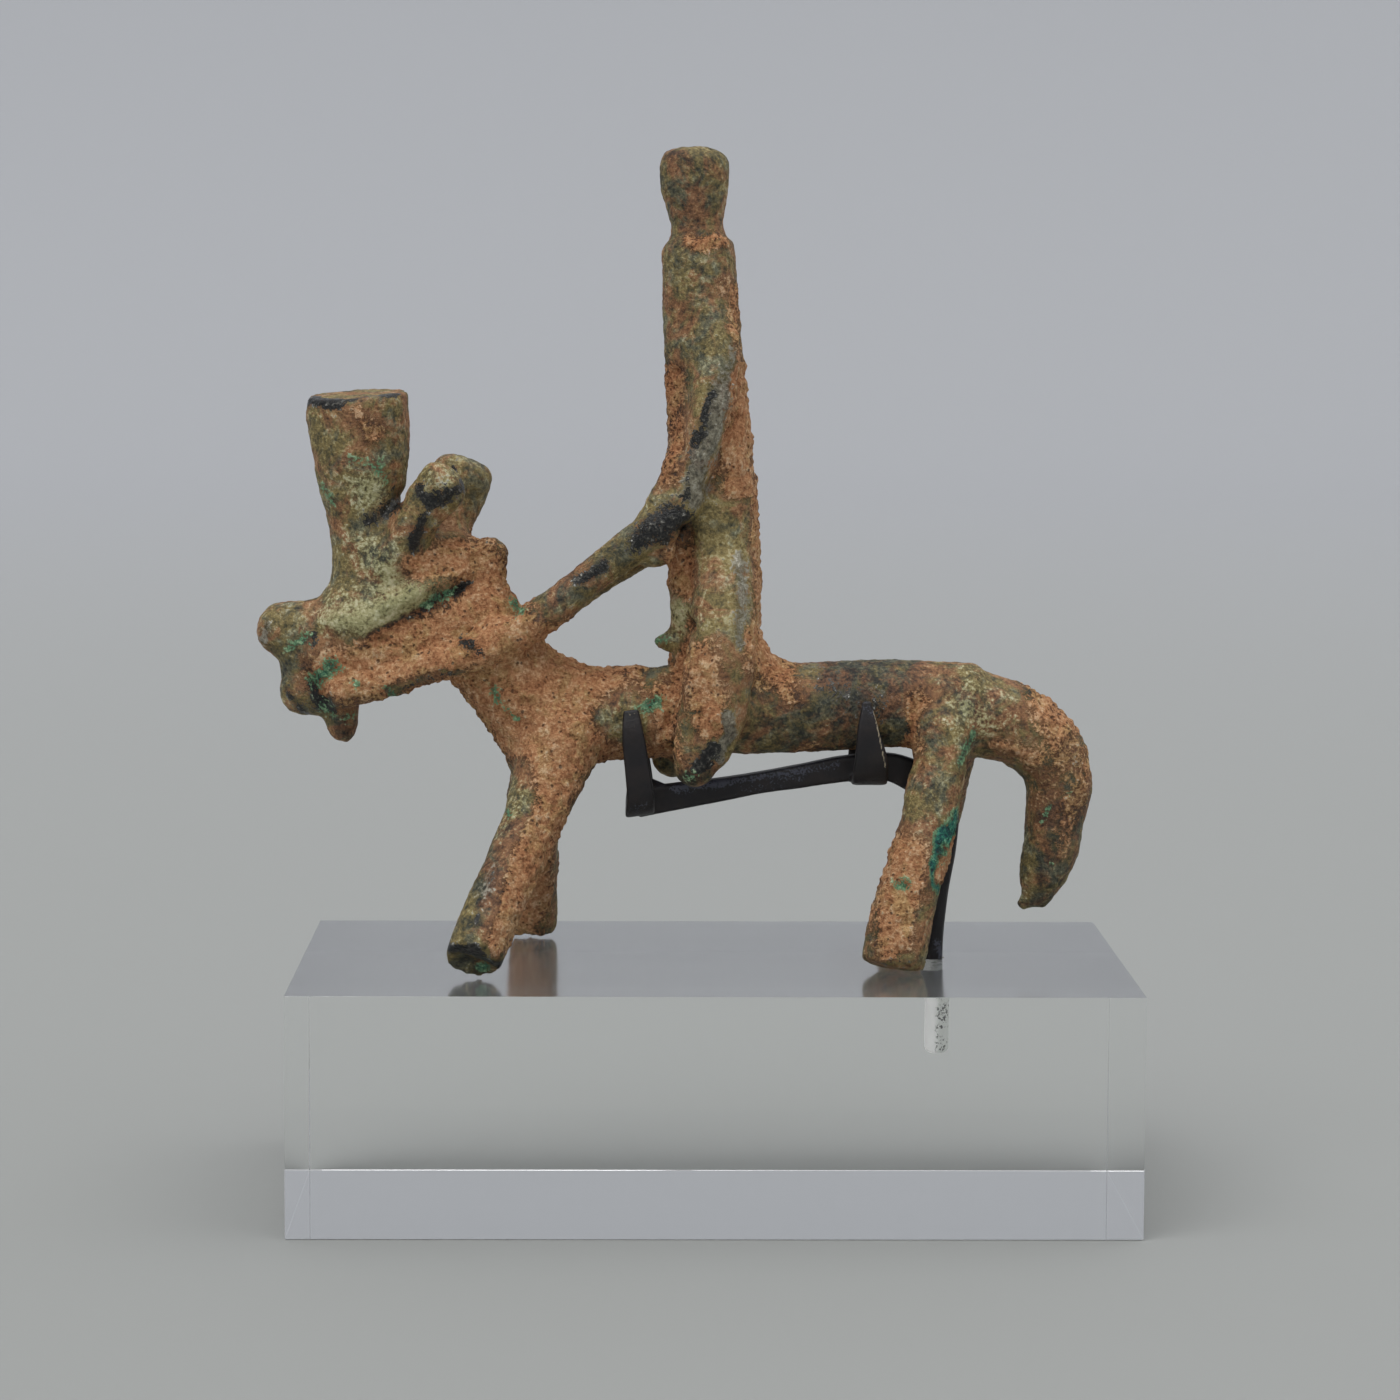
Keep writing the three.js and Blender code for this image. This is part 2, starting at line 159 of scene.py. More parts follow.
def grains(points: Array, size: float, seed: int) -> Array:
    """Round grains: 1 at a grain's middle, falling to 0 about `size` away from the nearest one.

    Each cell of a lattice holds one grain at a random place, and a point reads the nearest.

    Args:
        points: places in millimetres.
        size: the lattice's step in millimetres.
        seed: gives other grains.

    Returns:
        One number to a point.
    """
    places = points / size
    cells = np.floor(places).astype(np.int64)
    nearest = np.full(len(points), np.inf)
    for neighbour in np.ndindex(3, 3, 3):
        cell = cells + np.array(neighbour) - 1
        jitter = np.stack([scattered(cell, seed + axis) for axis in range(3)], axis=1)
        gap = cell + 0.5 + GRAIN_SCATTER * jitter - places
        nearest = np.minimum(nearest, np.einsum("ij,ij->i", gap, gap))
    return np.clip(1 - np.sqrt(nearest), 0, 1)


@dataclass
class Skin:
    """A closed surface as arrays: points in millimetres and its faces' corners."""

    points: Array
    faces: Array

    @classmethod
    def of_mesh(cls, mesh: bpy.types.Mesh, scale: float = 1 / MM) -> "Skin":
        """The arrays of a Blender mesh whose faces all have the same number of corners.

        Args:
            mesh: the mesh.
            scale: millimetres to one of its units.

        Returns:
            Its skin.
        """
        points = np.empty(len(mesh.vertices) * 3)
        mesh.vertices.foreach_get("co", points)
        corners = np.empty(len(mesh.loops), dtype=np.int32)
        mesh.loops.foreach_get("vertex_index", corners)
        sides = len(mesh.loops) // len(mesh.polygons)
        return cls(points.reshape(-1, 3) * scale, corners.reshape(-1, sides))

    def edges(self) -> Array:
        """Each edge once, as the two points that it joins."""
        ends = np.stack([self.faces, np.roll(self.faces, -1, axis=1)], axis=-1).reshape(-1, 2)
        return np.unique(np.sort(ends, axis=1), axis=0)

    def normals(self) -> Array:
        """A unit normal at each point of a net of quads: the sum of its faces' (c - a) x (d - b).

        Returns:
            One row to a point.
        """
        a, b, c, d = (self.points[corner] for corner in self.faces.T)
        owners = self.faces.ravel()
        across = np.repeat(np.cross(c - a, d - b), 4, axis=0)
        total = np.stack([np.bincount(owners, part, len(self.points)) for part in across.T], axis=1)
        return total / np.maximum(np.linalg.norm(total, axis=1, keepdims=True), 1e-12)

    def mesh(self, name: str) -> bpy.types.Mesh:
        """A Blender mesh of this surface, in metres.

        Args:
            name: the mesh's name.

        Returns:
            The mesh.
        """
        mesh = bpy.data.meshes.new(name)
        mesh.from_pydata((self.points * MM).tolist(), [], self.faces.tolist())
        mesh.update()
        return mesh


@dataclass
class Neighbours:
    """The edges of a skin, ready for averages over the points next to each point."""

    edges: Array
    count: int
    share: Array = field(init=False)

    def __post_init__(self) -> None:
        """Works out one over the number of points next to each point."""
        self.share = 1 / np.maximum(np.bincount(self.edges.ravel(), minlength=self.count), 1)

    def mean(self, values: Array) -> Array:
        """The mean of the values next to each point.

        Args:
            values: one number or one row to a point.

        Returns:
            The same shape as `values`.
        """
        if values.ndim == 2:
            return np.stack([self.mean(column) for column in values.T], axis=1)
        start, end = self.edges.T
        total = np.bincount(start, values[end], self.count)
        total = total + np.bincount(end, values[start], self.count)
        return total * self.share


def settled(values: Array, neighbours: Neighbours, rounds: int) -> Array:
    """The values after rounds of averaging: each goes halfway to the mean of those next to it.

    Args:
        values: one number or one row to a point.
        neighbours: which points are next to which.
        rounds: how many rounds.

    Returns:
        The same shape as `values`.
    """
    for _ in range(rounds):
        values = 0.5 * values + 0.5 * neighbours.mean(values)
    return values


def carried(knots: Array, steps: int) -> Array:
    """Rows carried along a smooth curve through the knots (a Catmull-Rom curve).

    Between knots b and c, with a before and d after, a row is half of
    2b + (c - a)t + (2a - 5b + 4c - d)t^2 + (3b - a - 3c + d)t^3.

    Args:
        knots: one row to a knot.
        steps: how many rows come out, less one.

    Returns:
        The rows, evenly spaced in the curve's own measure.
    """
    padded = np.vstack([2 * knots[0] - knots[1], knots, 2 * knots[-1] - knots[-2]])
    place = np.linspace(0, len(knots) - 1, steps + 1)
    span = np.minimum(place.astype(int), len(knots) - 2)
    t = (place - span)[:, None]
    a, b, c, d = (padded[span + i] for i in range(4))
    bend = (2 * a - 5 * b + 4 * c - d) * t**2
    twist = (3 * b - a - 3 * c + d) * t**3
    return 0.5 * (2 * b + (c - a) * t + bend + twist)


@dataclass(frozen=True)
class Rod:
    """A closed rod of oval or squared section along a smooth path.

    Each station is x, y, z and the section's two half sizes: the first lies in the plane of the
    bends and the second along `side`. Past each end the rings shrink on a superellipse.
    """

    stations: tuple[Station, ...]
    side: tuple[float, float, float] = (0, 1, 0)
    square: float = 2.0
    bulge: float = 0.8
    steps: int = 24
    sides: int = 32

    def skin(self) -> Skin:
        """The rod's surface: rings of `sides` points, closed by a pole at each end.

        Returns:
            A skin of triangles.
        """
        rows = carried(np.array(self.stations), self.steps)
        tangent = np.gradient(rows[:, :3], axis=0)
        tangent /= np.linalg.norm(tangent, axis=1, keepdims=True)
        turn = np.linspace(0, math.pi / 2, END_RINGS + 1)[1:]
        past = self.bulge * np.sin(turn)[:, None] * rows[[0, -1], 3:].min(axis=1)
        shrink = np.maximum(np.cos(turn) ** END_ROUNDNESS, END_POLE)[:, None]
        root = rows[0, :3] - past[:, :1] * tangent[0]
        tip = rows[-1, :3] + past[:, 1:] * tangent[-1]
        centre = np.vstack([root[::-1], rows[:, :3], tip])
        size = np.vstack([(rows[0, 3:] * shrink)[::-1], rows[:, 3:], rows[-1, 3:] * shrink])
        along = np.pad(tangent, ((END_RINGS, END_RINGS), (0, 0)), mode="edge")
        side = np.array(self.side, float)
        wide = side - along * (along @ side)[:, None]
        wide /= np.linalg.norm(wide, axis=1, keepdims=True)
        high = np.cross(wide, along)
        angle = (np.arange(self.sides) + 0.5) * 2 * math.pi / self.sides
        c, s = np.cos(angle), np.sin(angle)
        reach = (np.abs(c) ** self.square + np.abs(s) ** self.square) ** (-1 / self.square)
        ring = high[:, None] * (size[:, :1] * (c * reach))[..., None]
        ring = ring + wide[:, None] * (size[:, 1:] * (s * reach))[..., None]
        points = (centre[:, None] + ring).reshape(-1, 3)
        return closed_rings(points, len(centre), self.sides)


def closed_rings(points: Array, rings: int, sides: int) -> Skin:
    """The skin over a stack of rings, with each end ring closed by triangles to its middle.

    Args:
        points: the rings' points, one ring after another.
        rings: how many rings.
        sides: points to a ring.

    Returns:
        A skin of triangles that face outwards.
    """
    here = np.arange((rings - 1) * sides).reshape(rings - 1, sides)
    beside = np.roll(here, -1, axis=1)
    quads = np.stack([here, beside, beside + sides, here + sides], axis=-1).reshape(-1, 4)
    first = np.arange(sides)
    last = first + (rings - 1) * sides
    root, tip = len(points), len(points) + 1
    caps = np.vstack(
        [
            np.stack([np.full(sides, root), np.roll(first, -1), first], axis=1),
            np.stack([np.full(sides, tip), last, np.roll(last, -1)], axis=1),
        ]
    )
    middles = np.stack([points[first].mean(axis=0), points[last].mean(axis=0)])
    faces = np.vstack([quads[:, [0, 1, 2]], quads[:, [0, 2, 3]], caps])
    return Skin(np.vstack([points, middles]), faces)


def merged(skins: Sequence[Skin]) -> Skin:
    """Several skins of triangles as one, still overlapping.

    Args:
        skins: the skins to put together.

    Returns:
        One skin that holds them all.
    """
    offsets = np.cumsum([0] + [len(skin.points) for skin in skins[:-1]])
    faces = np.vstack([skin.faces + offset for skin, offset in zip(skins, offsets)])
    return Skin(np.vstack([skin.points for skin in skins]), faces)


def cad_skin(node: bpy.types.Object) -> Skin:
    """A CAD node's surface with its loose triangles joined at their shared corners.

    Args:
        node: the CAD node, which isn't changed.

    Returns:
        A closed skin of triangles.
    """
    loose = Skin.of_mesh(node.data)
    places = np.round(loose.points * WELDS_PER_MM).astype(np.int64)
    places, owners = np.unique(places, axis=0, return_inverse=True)
    faces = owners.reshape(-1)[loose.faces]
    a, b, c = faces.T
    sound = (a != b) & (b != c) & (a != c)
    return Skin(places / WELDS_PER_MM, faces[sound])


def fused(skin: Skin, voxel: float) -> Skin:
    """The outer surface of overlapping skins, as an even net of quads.

    Args:
        skin: closed skins that overlap.
        voxel: the net's mesh width in millimetres.

    Returns:
        One closed skin of quads.
    """
    mesh = bpy.data.meshes.new("fused")
    mesh.from_pydata(skin.points.tolist(), [], skin.faces.tolist())
    holder = bpy.data.objects.new("fused", mesh)
    bpy.context.scene.collection.objects.link(holder)
    remesh = holder.modifiers.new("remesh", "REMESH")
    remesh.mode = "VOXEL"
    remesh.voxel_size = voxel
    remesh.adaptivity = 0
    seen = holder.evaluated_get(bpy.context.evaluated_depsgraph_get())
    even = Skin.of_mesh(seen.to_mesh(), scale=1.0)
    seen.to_mesh_clear()
    bpy.data.objects.remove(holder)
    bpy.data.meshes.remove(mesh)
    return even


def piece_of(
    name: str,
    skin: Skin,
    material: bpy.types.Material,
    marks: dict[str, Array],
    smooth: bool = True,
) -> bpy.types.Object:
    """A Blender object at the origin, made of a skin.

    Args:
        name: the object's name.
        skin: its surface.
        material: its finish.
        marks: numbers for each point, by the name that the material reads.
        smooth: whether its faces are shaded smooth.

    Returns:
        The object, linked to the scene.
    """
    mesh = skin.mesh(name)
    mesh.materials.append(material)
    mesh.polygons.foreach_set("use_smooth", np.full(len(mesh.polygons), smooth))
    for key, values in marks.items():
        layer = mesh.attributes.new(key, "FLOAT", "POINT")
        layer.data.foreach_set("value", np.clip(values, 0, 1).astype(np.float32))
    made = bpy.data.objects.new(name, mesh)
    bpy.context.scene.collection.objects.link(made)
    LOG.info("%s: %d points", name, len(skin.points))
    return made


Value = Union["Term", float, int]
Tint = Union["Term", Colour]


@dataclass
class Term:
    """One output in a material, written as a term of an expression."""

    paint: "Paint"
    socket: bpy.types.NodeSocket

    def __add__(self, other: Value) -> "Term":
        """This plus another."""
        return self.paint.math("ADD", self, other)

    __radd__ = __add__

    def __sub__(self, other: Value) -> "Term":
        """This less another."""
        return self.paint.math("SUBTRACT", self, other)

    def __rsub__(self, other: Value) -> "Term":
        """Another less this."""
        return self.paint.math("SUBTRACT", other, self)

    def __mul__(self, other: Value) -> "Term":
        """This times another."""
        return self.paint.math("MULTIPLY", self, other)

    __rmul__ = __mul__

    def step(self, low: float, high: float) -> "Term":
        """A smooth step from 0 at `low` to 1 at `high`."""
        sockets = {"Value": self, "From Min": low, "From Max": high}
        return self.paint.node("ShaderNodeMapRange", {"interpolation_type": "SMOOTHSTEP"}, sockets)

    def above(self, other: Value) -> "Term":
        """The greater of this and another."""
        return self.paint.math("MAXIMUM", self, other)


class Paint:
    """A material's node tree, built from expressions."""

    def __init__(self, name: str) -> None:
        """Starts an empty material.

        Args:
            name: the material's name.
        """
        self.material = bpy.data.materials.new(name)
        self.material.use_nodes = True
        self.tree = self.material.node_tree
        self.tree.nodes.clear()
        where = self.node("ShaderNodeTexCoord", {}, {}, "Object")
        scaled = {0: where, "Scale": 1 / MM}
        self.place = self.node("ShaderNodeVectorMath", {"operation": "SCALE"}, scaled)

    def node(
        self,
        kind: str,
        settings: dict[str, Any],
        sockets: dict[Any, Any],
        output: Union[int, str] = 0,
    ) -> Term:
        """One node of any kind.

        Args:
            kind: the node's type.
            settings: its own settings, set first. "stops" sets a colour ramp.
            sockets: its inputs by name or number: a term to link, or a plain value.
            output: the output to give back.

        Returns:
            The output as a term.
        """
        made = self.tree.nodes.new(kind)
        for key, value in settings.items():
            if key == "stops":
                self._set_stops(made.color_ramp, value)
            else:
                setattr(made, key, value)
        for key, value in sockets.items():
            if isinstance(value, Term):
                self.tree.links.new(value.socket, made.inputs[key])
            else:
                made.inputs[key].default_value = value
        return Term(self, made.outputs[output])

    @staticmethod
    def _set_stops(ramp: bpy.types.ColorRamp, stops: Stops) -> None:
        """Gives a ramp its stops.

        Args:
            ramp: the ramp.
            stops: places from 0 to 1 with a colour each.
        """
        while len(ramp.elements) < len(stops):
            ramp.elements.new(1.0)
        for element, (place, colour) in zip(ramp.elements, stops):
            element.position = place
            element.color = (*colour, 1.0)

    def math(self, operation: str, first: Value, second: Value) -> Term:
        """One Math node."""
        return self.node("ShaderNodeMath", {"operation": operation}, {0: first, 1: second})

    def mark(self, name: str) -> Term:
        """A number that the mesh carries at each point."""
        return self.node("ShaderNodeAttribute", {"attribute_name": name}, {}, "Fac")

    def noise(
        self,
        wavelength: float,
        detail: float,
        roughness: float,
        warp: float = 0.0,
        seed: int = 0,
    ) -> Term:
        """Cloudy noise from 0 to 1 with its main wavelength in millimetres.

        Args:
            wavelength: the size of the largest clouds.
            detail: how many finer layers are added.
            roughness: how strong each finer layer is.
            warp: how far the pattern is bent by itself.
            seed: moves the pattern, so that it isn't in step with another.

        Returns:
            The noise, whose mean is about NOISE_MEAN.
        """
        away = (31.7 * seed, 17.3 * seed, 23.9 * seed)
        moved = self.node("ShaderNodeVectorMath", {"operation": "ADD"}, {0: self.place, 1: away})
        sockets = {
            "Vector": moved,
            "Scale": 1 / wavelength,
            "Detail": detail,
            "Roughness": roughness,
            "Distortion": warp,
        }
        return self.node("ShaderNodeTexNoise", {}, sockets)

    def cells(self, size: float) -> Term:
        """The distance to the nearest of many scattered points, about `size` millimetres apart."""
        sockets = {"Vector": self.place, "Scale": 1 / size}
        return self.node("ShaderNodeTexVoronoi", {}, sockets, "Distance")

    def axis(self, name: str) -> Term:
        """The place along one axis, in millimetres."""
        return self.node("ShaderNodeSeparateXYZ", {}, {0: self.place}, name)

    def mix(self, first: Tint, second: Tint, share: Value) -> Term:
        """Two colours mixed.

        Args:
            first: the colour where `share` is 0.
            second: the colour where `share` is 1.
            share: how much of the second there is.

        Returns:
            The mixed colour.
        """
        sockets: dict[Any, Any] = {0: share}
        for index, colour in zip(MIX_COLOURS, (first, second)):
            sockets[index] = colour if isinstance(colour, Term) else (*colour, 1.0)
        return self.node("ShaderNodeMix", {"data_type": "RGBA"}, sockets, MIX_RESULT)

    def shade(self, colour: Term, factor: Value) -> Term:
        """A colour made darker or lighter by a factor."""
        return self.node("ShaderNodeVectorMath", {"operation": "SCALE"}, {0: colour, "Scale": factor})

    def ramp(self, share: Term, stops: Stops) -> Term:
        """A colour read off a ramp."""
        return self.node("ShaderNodeValToRGB", {"stops": stops}, {"Fac": share}, "Color")

    def bump(self, height: Term, depth: float) -> Term:
        """A normal from a height of 0 to 1 that stands for `depth` millimetres."""
        sockets = {"Height": height, "Strength": 1.0, "Distance": depth * MM}
        return self.node("ShaderNodeBump", {}, sockets)

    def finish(self, **sockets: Any) -> bpy.types.Material:
        """Ends the material in one shader.

        Args:
            **sockets: a term or a plain value for each socket, whose name has underscores here.

        Returns:
            The material.
        """
        named = {}
        for key, value in sockets.items():
            named[key.replace("_", " ").title().replace("Ior", "IOR")] = value
        shader = self.node("ShaderNodeBsdfPrincipled", {}, named)
        end = self.tree.nodes.new("ShaderNodeOutputMaterial")
        self.tree.links.new(shader.socket, end.inputs["Surface"])
        return self.material


def tones(*colours: tuple[int, int, int]) -> Stops:
    """Display colours from dark to light, as a ramp's stops at even steps."""
    step = RAMP_SPAN / (len(colours) - 1)
    return tuple((RAMP_START + step * i, srgb(*colour)) for i, colour in enumerate(colours))


@dataclass(frozen=True)
class Corrosion:
    """What the colours of a corroded surface are mixed from: its noises and its broad marks.

    `speck`, `fine`, `hue` and `stain` are noises, from the finest to the broadest. `grit`, `patches`
    and `broken`, which is both, are noises above and below nothing. `holes` is 1 in a small pit.
    `hollow` is how deep a place lies, and the finish darkens the colour there as painted shade; `dark`
    is negative where a mark makes the place lighter.
    """

    speck: Term
    fine: Term
    hue: Term
    stain: Term
    grit: Term
    patches: Term
    broken: Term
    holes: Term
    hollow: Term
    dark: Term

    @classmethod
    def of(cls, paint: Paint) -> "Corrosion":
        """The corrosion in one material.

        Args:
            paint: the material.

        Returns:
            Its noises and marks.
        """
        speck = paint.noise(0.34, 2, 0.6)
        fine = paint.noise(0.75, 4, 0.74, seed=1)
        grit = (speck - NOISE_MEAN) * 1.1 + (fine - NOISE_MEAN) * 1.5
        patches = paint.noise(2.0, 5, 0.72, 0.8, seed=2) - NOISE_MEAN
        return cls(
            speck=speck,
            fine=fine,
            hue=paint.noise(2.6, 4, 0.7, 0.6, seed=4),
            stain=paint.noise(4.2, 5, 0.7, 0.6, seed=5),
            grit=grit,
            patches=patches,
            broken=grit + patches * 1.2,
            holes=(0.2 + (fine - NOISE_MEAN) * 0.8 - paint.cells(0.9)).step(0.0, 0.14),
            hollow=paint.mark("hollow"),
            dark=paint.mark("dark") - paint.mark("light"),
        )


@dataclass(frozen=True)
class CorrodedBronze:
    """The finish of the casting: sandy crust over an olive patina, with worn metal and verdigris,
    painted glints on the metal and painted shade in the hollows.

    Every ramp goes from dark to light. A mark plus noise is cut to an edge between the two values of
    its cut, so that it ends in loose grains.
    """

    lift: float = 1.2
    painted_hollow_shade: float = 0.38
    relief_depth: float = 0.34
    crust_cut: Cut = (0.34, 0.62)
    worn_cut: Cut = (0.4, 0.7)
    black_cut: Cut = (0.5, 0.63)
    salt_cut: Cut = (0.42, 0.64)
    teal_cut: Cut = (0.72, 0.92)
    pale_cut: Cut = (0.3, 0.75)
    slate_cut: Cut = (0.47, 0.65)
    rust_cut: Cut = (0.47, 0.62)
    ochre_cut: Cut = (0.46, 0.62)
    brown_cut: Cut = (0.44, 0.6)
    glint_cut: Cut = (0.58, 0.66)
    olive: Stops = tones((36, 39, 33), (68, 65, 44), (111, 98, 61), (146, 129, 81), (184, 172, 128))
    slate: Stops = tones((28, 31, 30), (60, 63, 54), (93, 95, 78), (128, 127, 102), (182, 182, 154))
    rust: Stops = tones((46, 29, 21), (91, 60, 40), (137, 93, 62), (169, 122, 85), (208, 172, 137))
    sand: Stops = tones((64, 40, 26), (124, 80, 50), (172, 118, 80), (200, 149, 106), (226, 190, 150))
    ochre: Stops = tones((58, 42, 25), (112, 84, 50), (162, 128, 82), (192, 160, 108), (224, 200, 152))
    pale: Stops = tones((60, 62, 42), (112, 110, 72), (150, 147, 100), (178, 175, 130), (208, 205, 168))
    # Worn metal; its lightest stops are painted glints.
    worn_grey_and_glints: Stops = tones((40, 40, 37), (80, 78, 70), (120, 116, 103), (154, 150, 136), (214, 210, 198))
    # Black metal; its lightest stop is a painted glint.
    black_metal_and_glints: Stops = tones((18, 18, 19), (32, 32, 32), (50, 49, 45), (88, 86, 80), (190, 188, 180))
    green: Stops = tones((30, 54, 46), (56, 92, 70), (90, 130, 96), (128, 160, 120), (186, 206, 168))
    teal: Stops = tones((10, 36, 42), (16, 66, 66), (32, 104, 90), (68, 148, 120), (150, 200, 168))

    def patina(self, paint: Paint, corrosion: Corrosion) -> Term:
        """The olive patina, clouded with slate grey and rust, with a pale bloom on its marks.

        Args:
            paint: the material.
            corrosion: its noises and marks.

        Returns:
            The patina's colour.
        """
        hue, stain, dark = corrosion.hue, corrosion.stain, corrosion.dark
        tone = 0.58 + corrosion.patches * 1.3 + corrosion.grit * 0.7
        # Painted shade: the patina is darker in hollows, and under the dark marks that stand for shade.
        tone = tone - dark * 0.3 - corrosion.hollow * 0.1
        slaty = (hue + dark * 0.1).step(*self.slate_cut) * 0.85
        rusty = (stain + paint.mark("crust") * 0.16 + dark * 0.03).step(*self.rust_cut) * 0.85
        bloom = (paint.mark("pale") + corrosion.broken).step(*self.pale_cut) * 0.75
        colour = paint.mix(paint.ramp(tone, self.olive), paint.ramp(tone, self.slate), slaty)
        colour = paint.mix(colour, paint.ramp(tone, self.rust), rusty)
        return paint.mix(colour, paint.ramp(tone + 0.1, self.pale), bloom)

    def sandy(self, paint: Paint, corrosion: Corrosion) -> Term:
        """The crust: sand, ochre and rust, almost black in its pits.

        Args:
            paint: the material.
            corrosion: its noises and marks.

        Returns:
            The crust's colour.
        """
        stain, patches = corrosion.stain, corrosion.patches
        grain = 0.62 + corrosion.grit * 0.76 - corrosion.dark * 0.14 + patches * 0.8
        # Painted shade: the crust is a little darker in hollows.
        grain = grain + (stain - NOISE_MEAN) * 0.7 - corrosion.hollow * 0.1
        yellow = corrosion.hue.step(*self.ochre_cut) * 0.65
        brown = (stain + patches * 0.5).step(*self.brown_cut) * 0.5
        colour = paint.mix(paint.ramp(grain, self.sand), paint.ramp(grain, self.ochre), yellow)
        colour = paint.mix(colour, paint.ramp(grain, self.rust), brown)
        return paint.mix(colour, self.sand[0][1], corrosion.holes * 0.75)

    def material(self) -> bpy.types.Material:
        """The material, which reads the casting's marks.

        Returns:
            The bronze's material.
        """
        paint = Paint("corroded_bronze")
        corrosion = Corrosion.of(paint)
        fine, grit, broken = corrosion.fine, corrosion.grit, corrosion.broken
        crust = (paint.mark("crust") + broken * 0.75).step(*self.crust_cut)
        worn = (paint.mark("worn") + broken * 0.9).step(*self.worn_cut)
        black = (paint.mark("black") + broken * 1.05).step(*self.black_cut)
        salt = (paint.mark("verdigris") + grit * 1.05).step(*self.salt_cut)
        strong = paint.mark("verdigris").step(*self.teal_cut)

        # Worn metal, with painted glints where the noise is highest.
        worn_metal_with_glints = paint.ramp(NOISE_MEAN + grit * 0.8 + corrosion.patches * 0.8, self.worn_grey_and_glints)
        copper = 0.46 + grit * 1.2
        salts = paint.mix(paint.ramp(copper, self.green), paint.ramp(copper, self.teal), strong)
        # Painted shade: every colour is lifted, then darkened in hollows, less so under the crust.
        shade = self.lift - self.painted_hollow_shade * corrosion.hollow * (1.0 - crust * 0.8)
        colour = paint.mix(self.patina(paint, corrosion), self.sandy(paint, corrosion), crust)
        colour = paint.mix(colour, worn_metal_with_glints, worn * 0.85)
        # Black metal, with painted glints where the grit is highest.
        colour = paint.mix(colour, paint.ramp(0.34 + grit * 1.4, self.black_metal_and_glints), black)
        colour = paint.shade(paint.mix(colour, salts, salt), shade)

        smooth = worn.above(black)
        glint = (corrosion.speck * 0.5 + fine * 0.5).step(*self.glint_cut) * (1.0 - crust)
        relief = corrosion.speck * 0.5 + fine * (0.5 + crust * 1.1) - corrosion.holes * crust * 0.9
        return paint.finish(
            base_color=colour,
            roughness=0.66 + crust * 0.26 - smooth * 0.36 - glint * 0.22,
            metallic=smooth * 0.25,
            normal=paint.bump(relief, self.relief_depth),
        )


@dataclass(frozen=True)
class BlackPaint:
    """The finish of the cradle: satin black paint over filed metal, rubbed bare on its edges, with a
    painted bluish sheen on its upper faces.
    """

    black: Colour = srgb(22, 19, 22)
    brown: Colour = srgb(41, 33, 31)
    # The rubbed paint's grey, also used for the painted sheen.
    grey: Colour = srgb(92, 95, 110)
    bare: Colour = srgb(176, 162, 136)
    brown_cut: Cut = (0.4, 0.7)
    edge_cut: Cut = (0.86, 1.0)
    upper_cut: Cut = (0.35, 0.9)
    rubbed_cut: Cut = (0.45, 0.75)
    scratch_cut: Cut = (0.5, 0.65)
    streak_cut: Cut = (0.3, 0.75)
    relief_depth: float = 0.06

    def material(self) -> bpy.types.Material:
        """The material, which reads the cradle's marks: edge, upper, rubbed and scratch.

        Returns:
            The painted metal's material.
        """
        paint = Paint("black_paint")
        fine = paint.noise(0.25, 4, 0.65)
        broad = paint.noise(2.2, 4, 0.6, seed=1)
        grit, cloud = fine - NOISE_MEAN, broad - NOISE_MEAN
        edge = (paint.mark("edge") + grit * 1.3 + cloud * 1.2).step(*self.edge_cut)
        upper = (paint.mark("upper") + cloud * 0.9).step(*self.upper_cut)
        rubbed = (paint.mark("rubbed") + grit * 2.4).step(*self.rubbed_cut)
        scratch = (paint.mark("scratch") + grit * 1.6).step(*self.scratch_cut)
        # Painted sheen in streaks on the upper faces, and rubbed paint.
        rubbed_and_painted_sheen = (upper * fine.step(*self.streak_cut) * 0.5).above(rubbed * 0.65)
        colour = paint.mix(self.black, self.brown, broad.step(*self.brown_cut) * 0.7)
        colour = paint.mix(colour, self.grey, rubbed_and_painted_sheen)
        colour = paint.mix(colour, self.bare, (edge * 0.45).above(scratch * 0.9))
        normal = paint.bump(fine * 0.6 + broad * 0.8, self.relief_depth)
        rough = 0.38 + fine * 0.2
        return paint.finish(base_color=colour, roughness=rough, metallic=edge * 0.4, normal=normal)


@dataclass(frozen=True)
class ClearAcrylic:
    """The finish of the block: polished, colourless acrylic with fine dust on its upper face."""

    tint: Colour = (0.985, 0.99, 0.985)
    speck: Colour = srgb(150, 138, 116)
    dusty_from: float = 25.3
    dusty_over: float = 0.05
    speck_spacing: float = 3.8
    speck_radius: float = 0.03
    polish: float = 0.02
    dulled: float = 0.13
    film_roughness: float = 0.14
    film_ior: float = 1.7

    def material(self) -> bpy.types.Material:
        """The material: see-through by plain values. A coat on the upper face stands for the dust.

        Returns:
            The block's material.
        """
        paint = Paint("clear_acrylic")
        upper = (paint.axis("Z") - self.dusty_from).step(0.0, self.dusty_over)
        specks = (self.speck_radius - paint.cells(self.speck_spacing)).step(0.0, 0.02) * upper
        return paint.finish(
            base_color=paint.mix(self.tint, self.speck, specks),
            roughness=self.polish + upper * self.dulled,
            ior=1.49,
            transmission_weight=1.0,
            coat_weight=upper,
            coat_roughness=self.film_roughness,
            coat_ior=self.film_ior,
        )


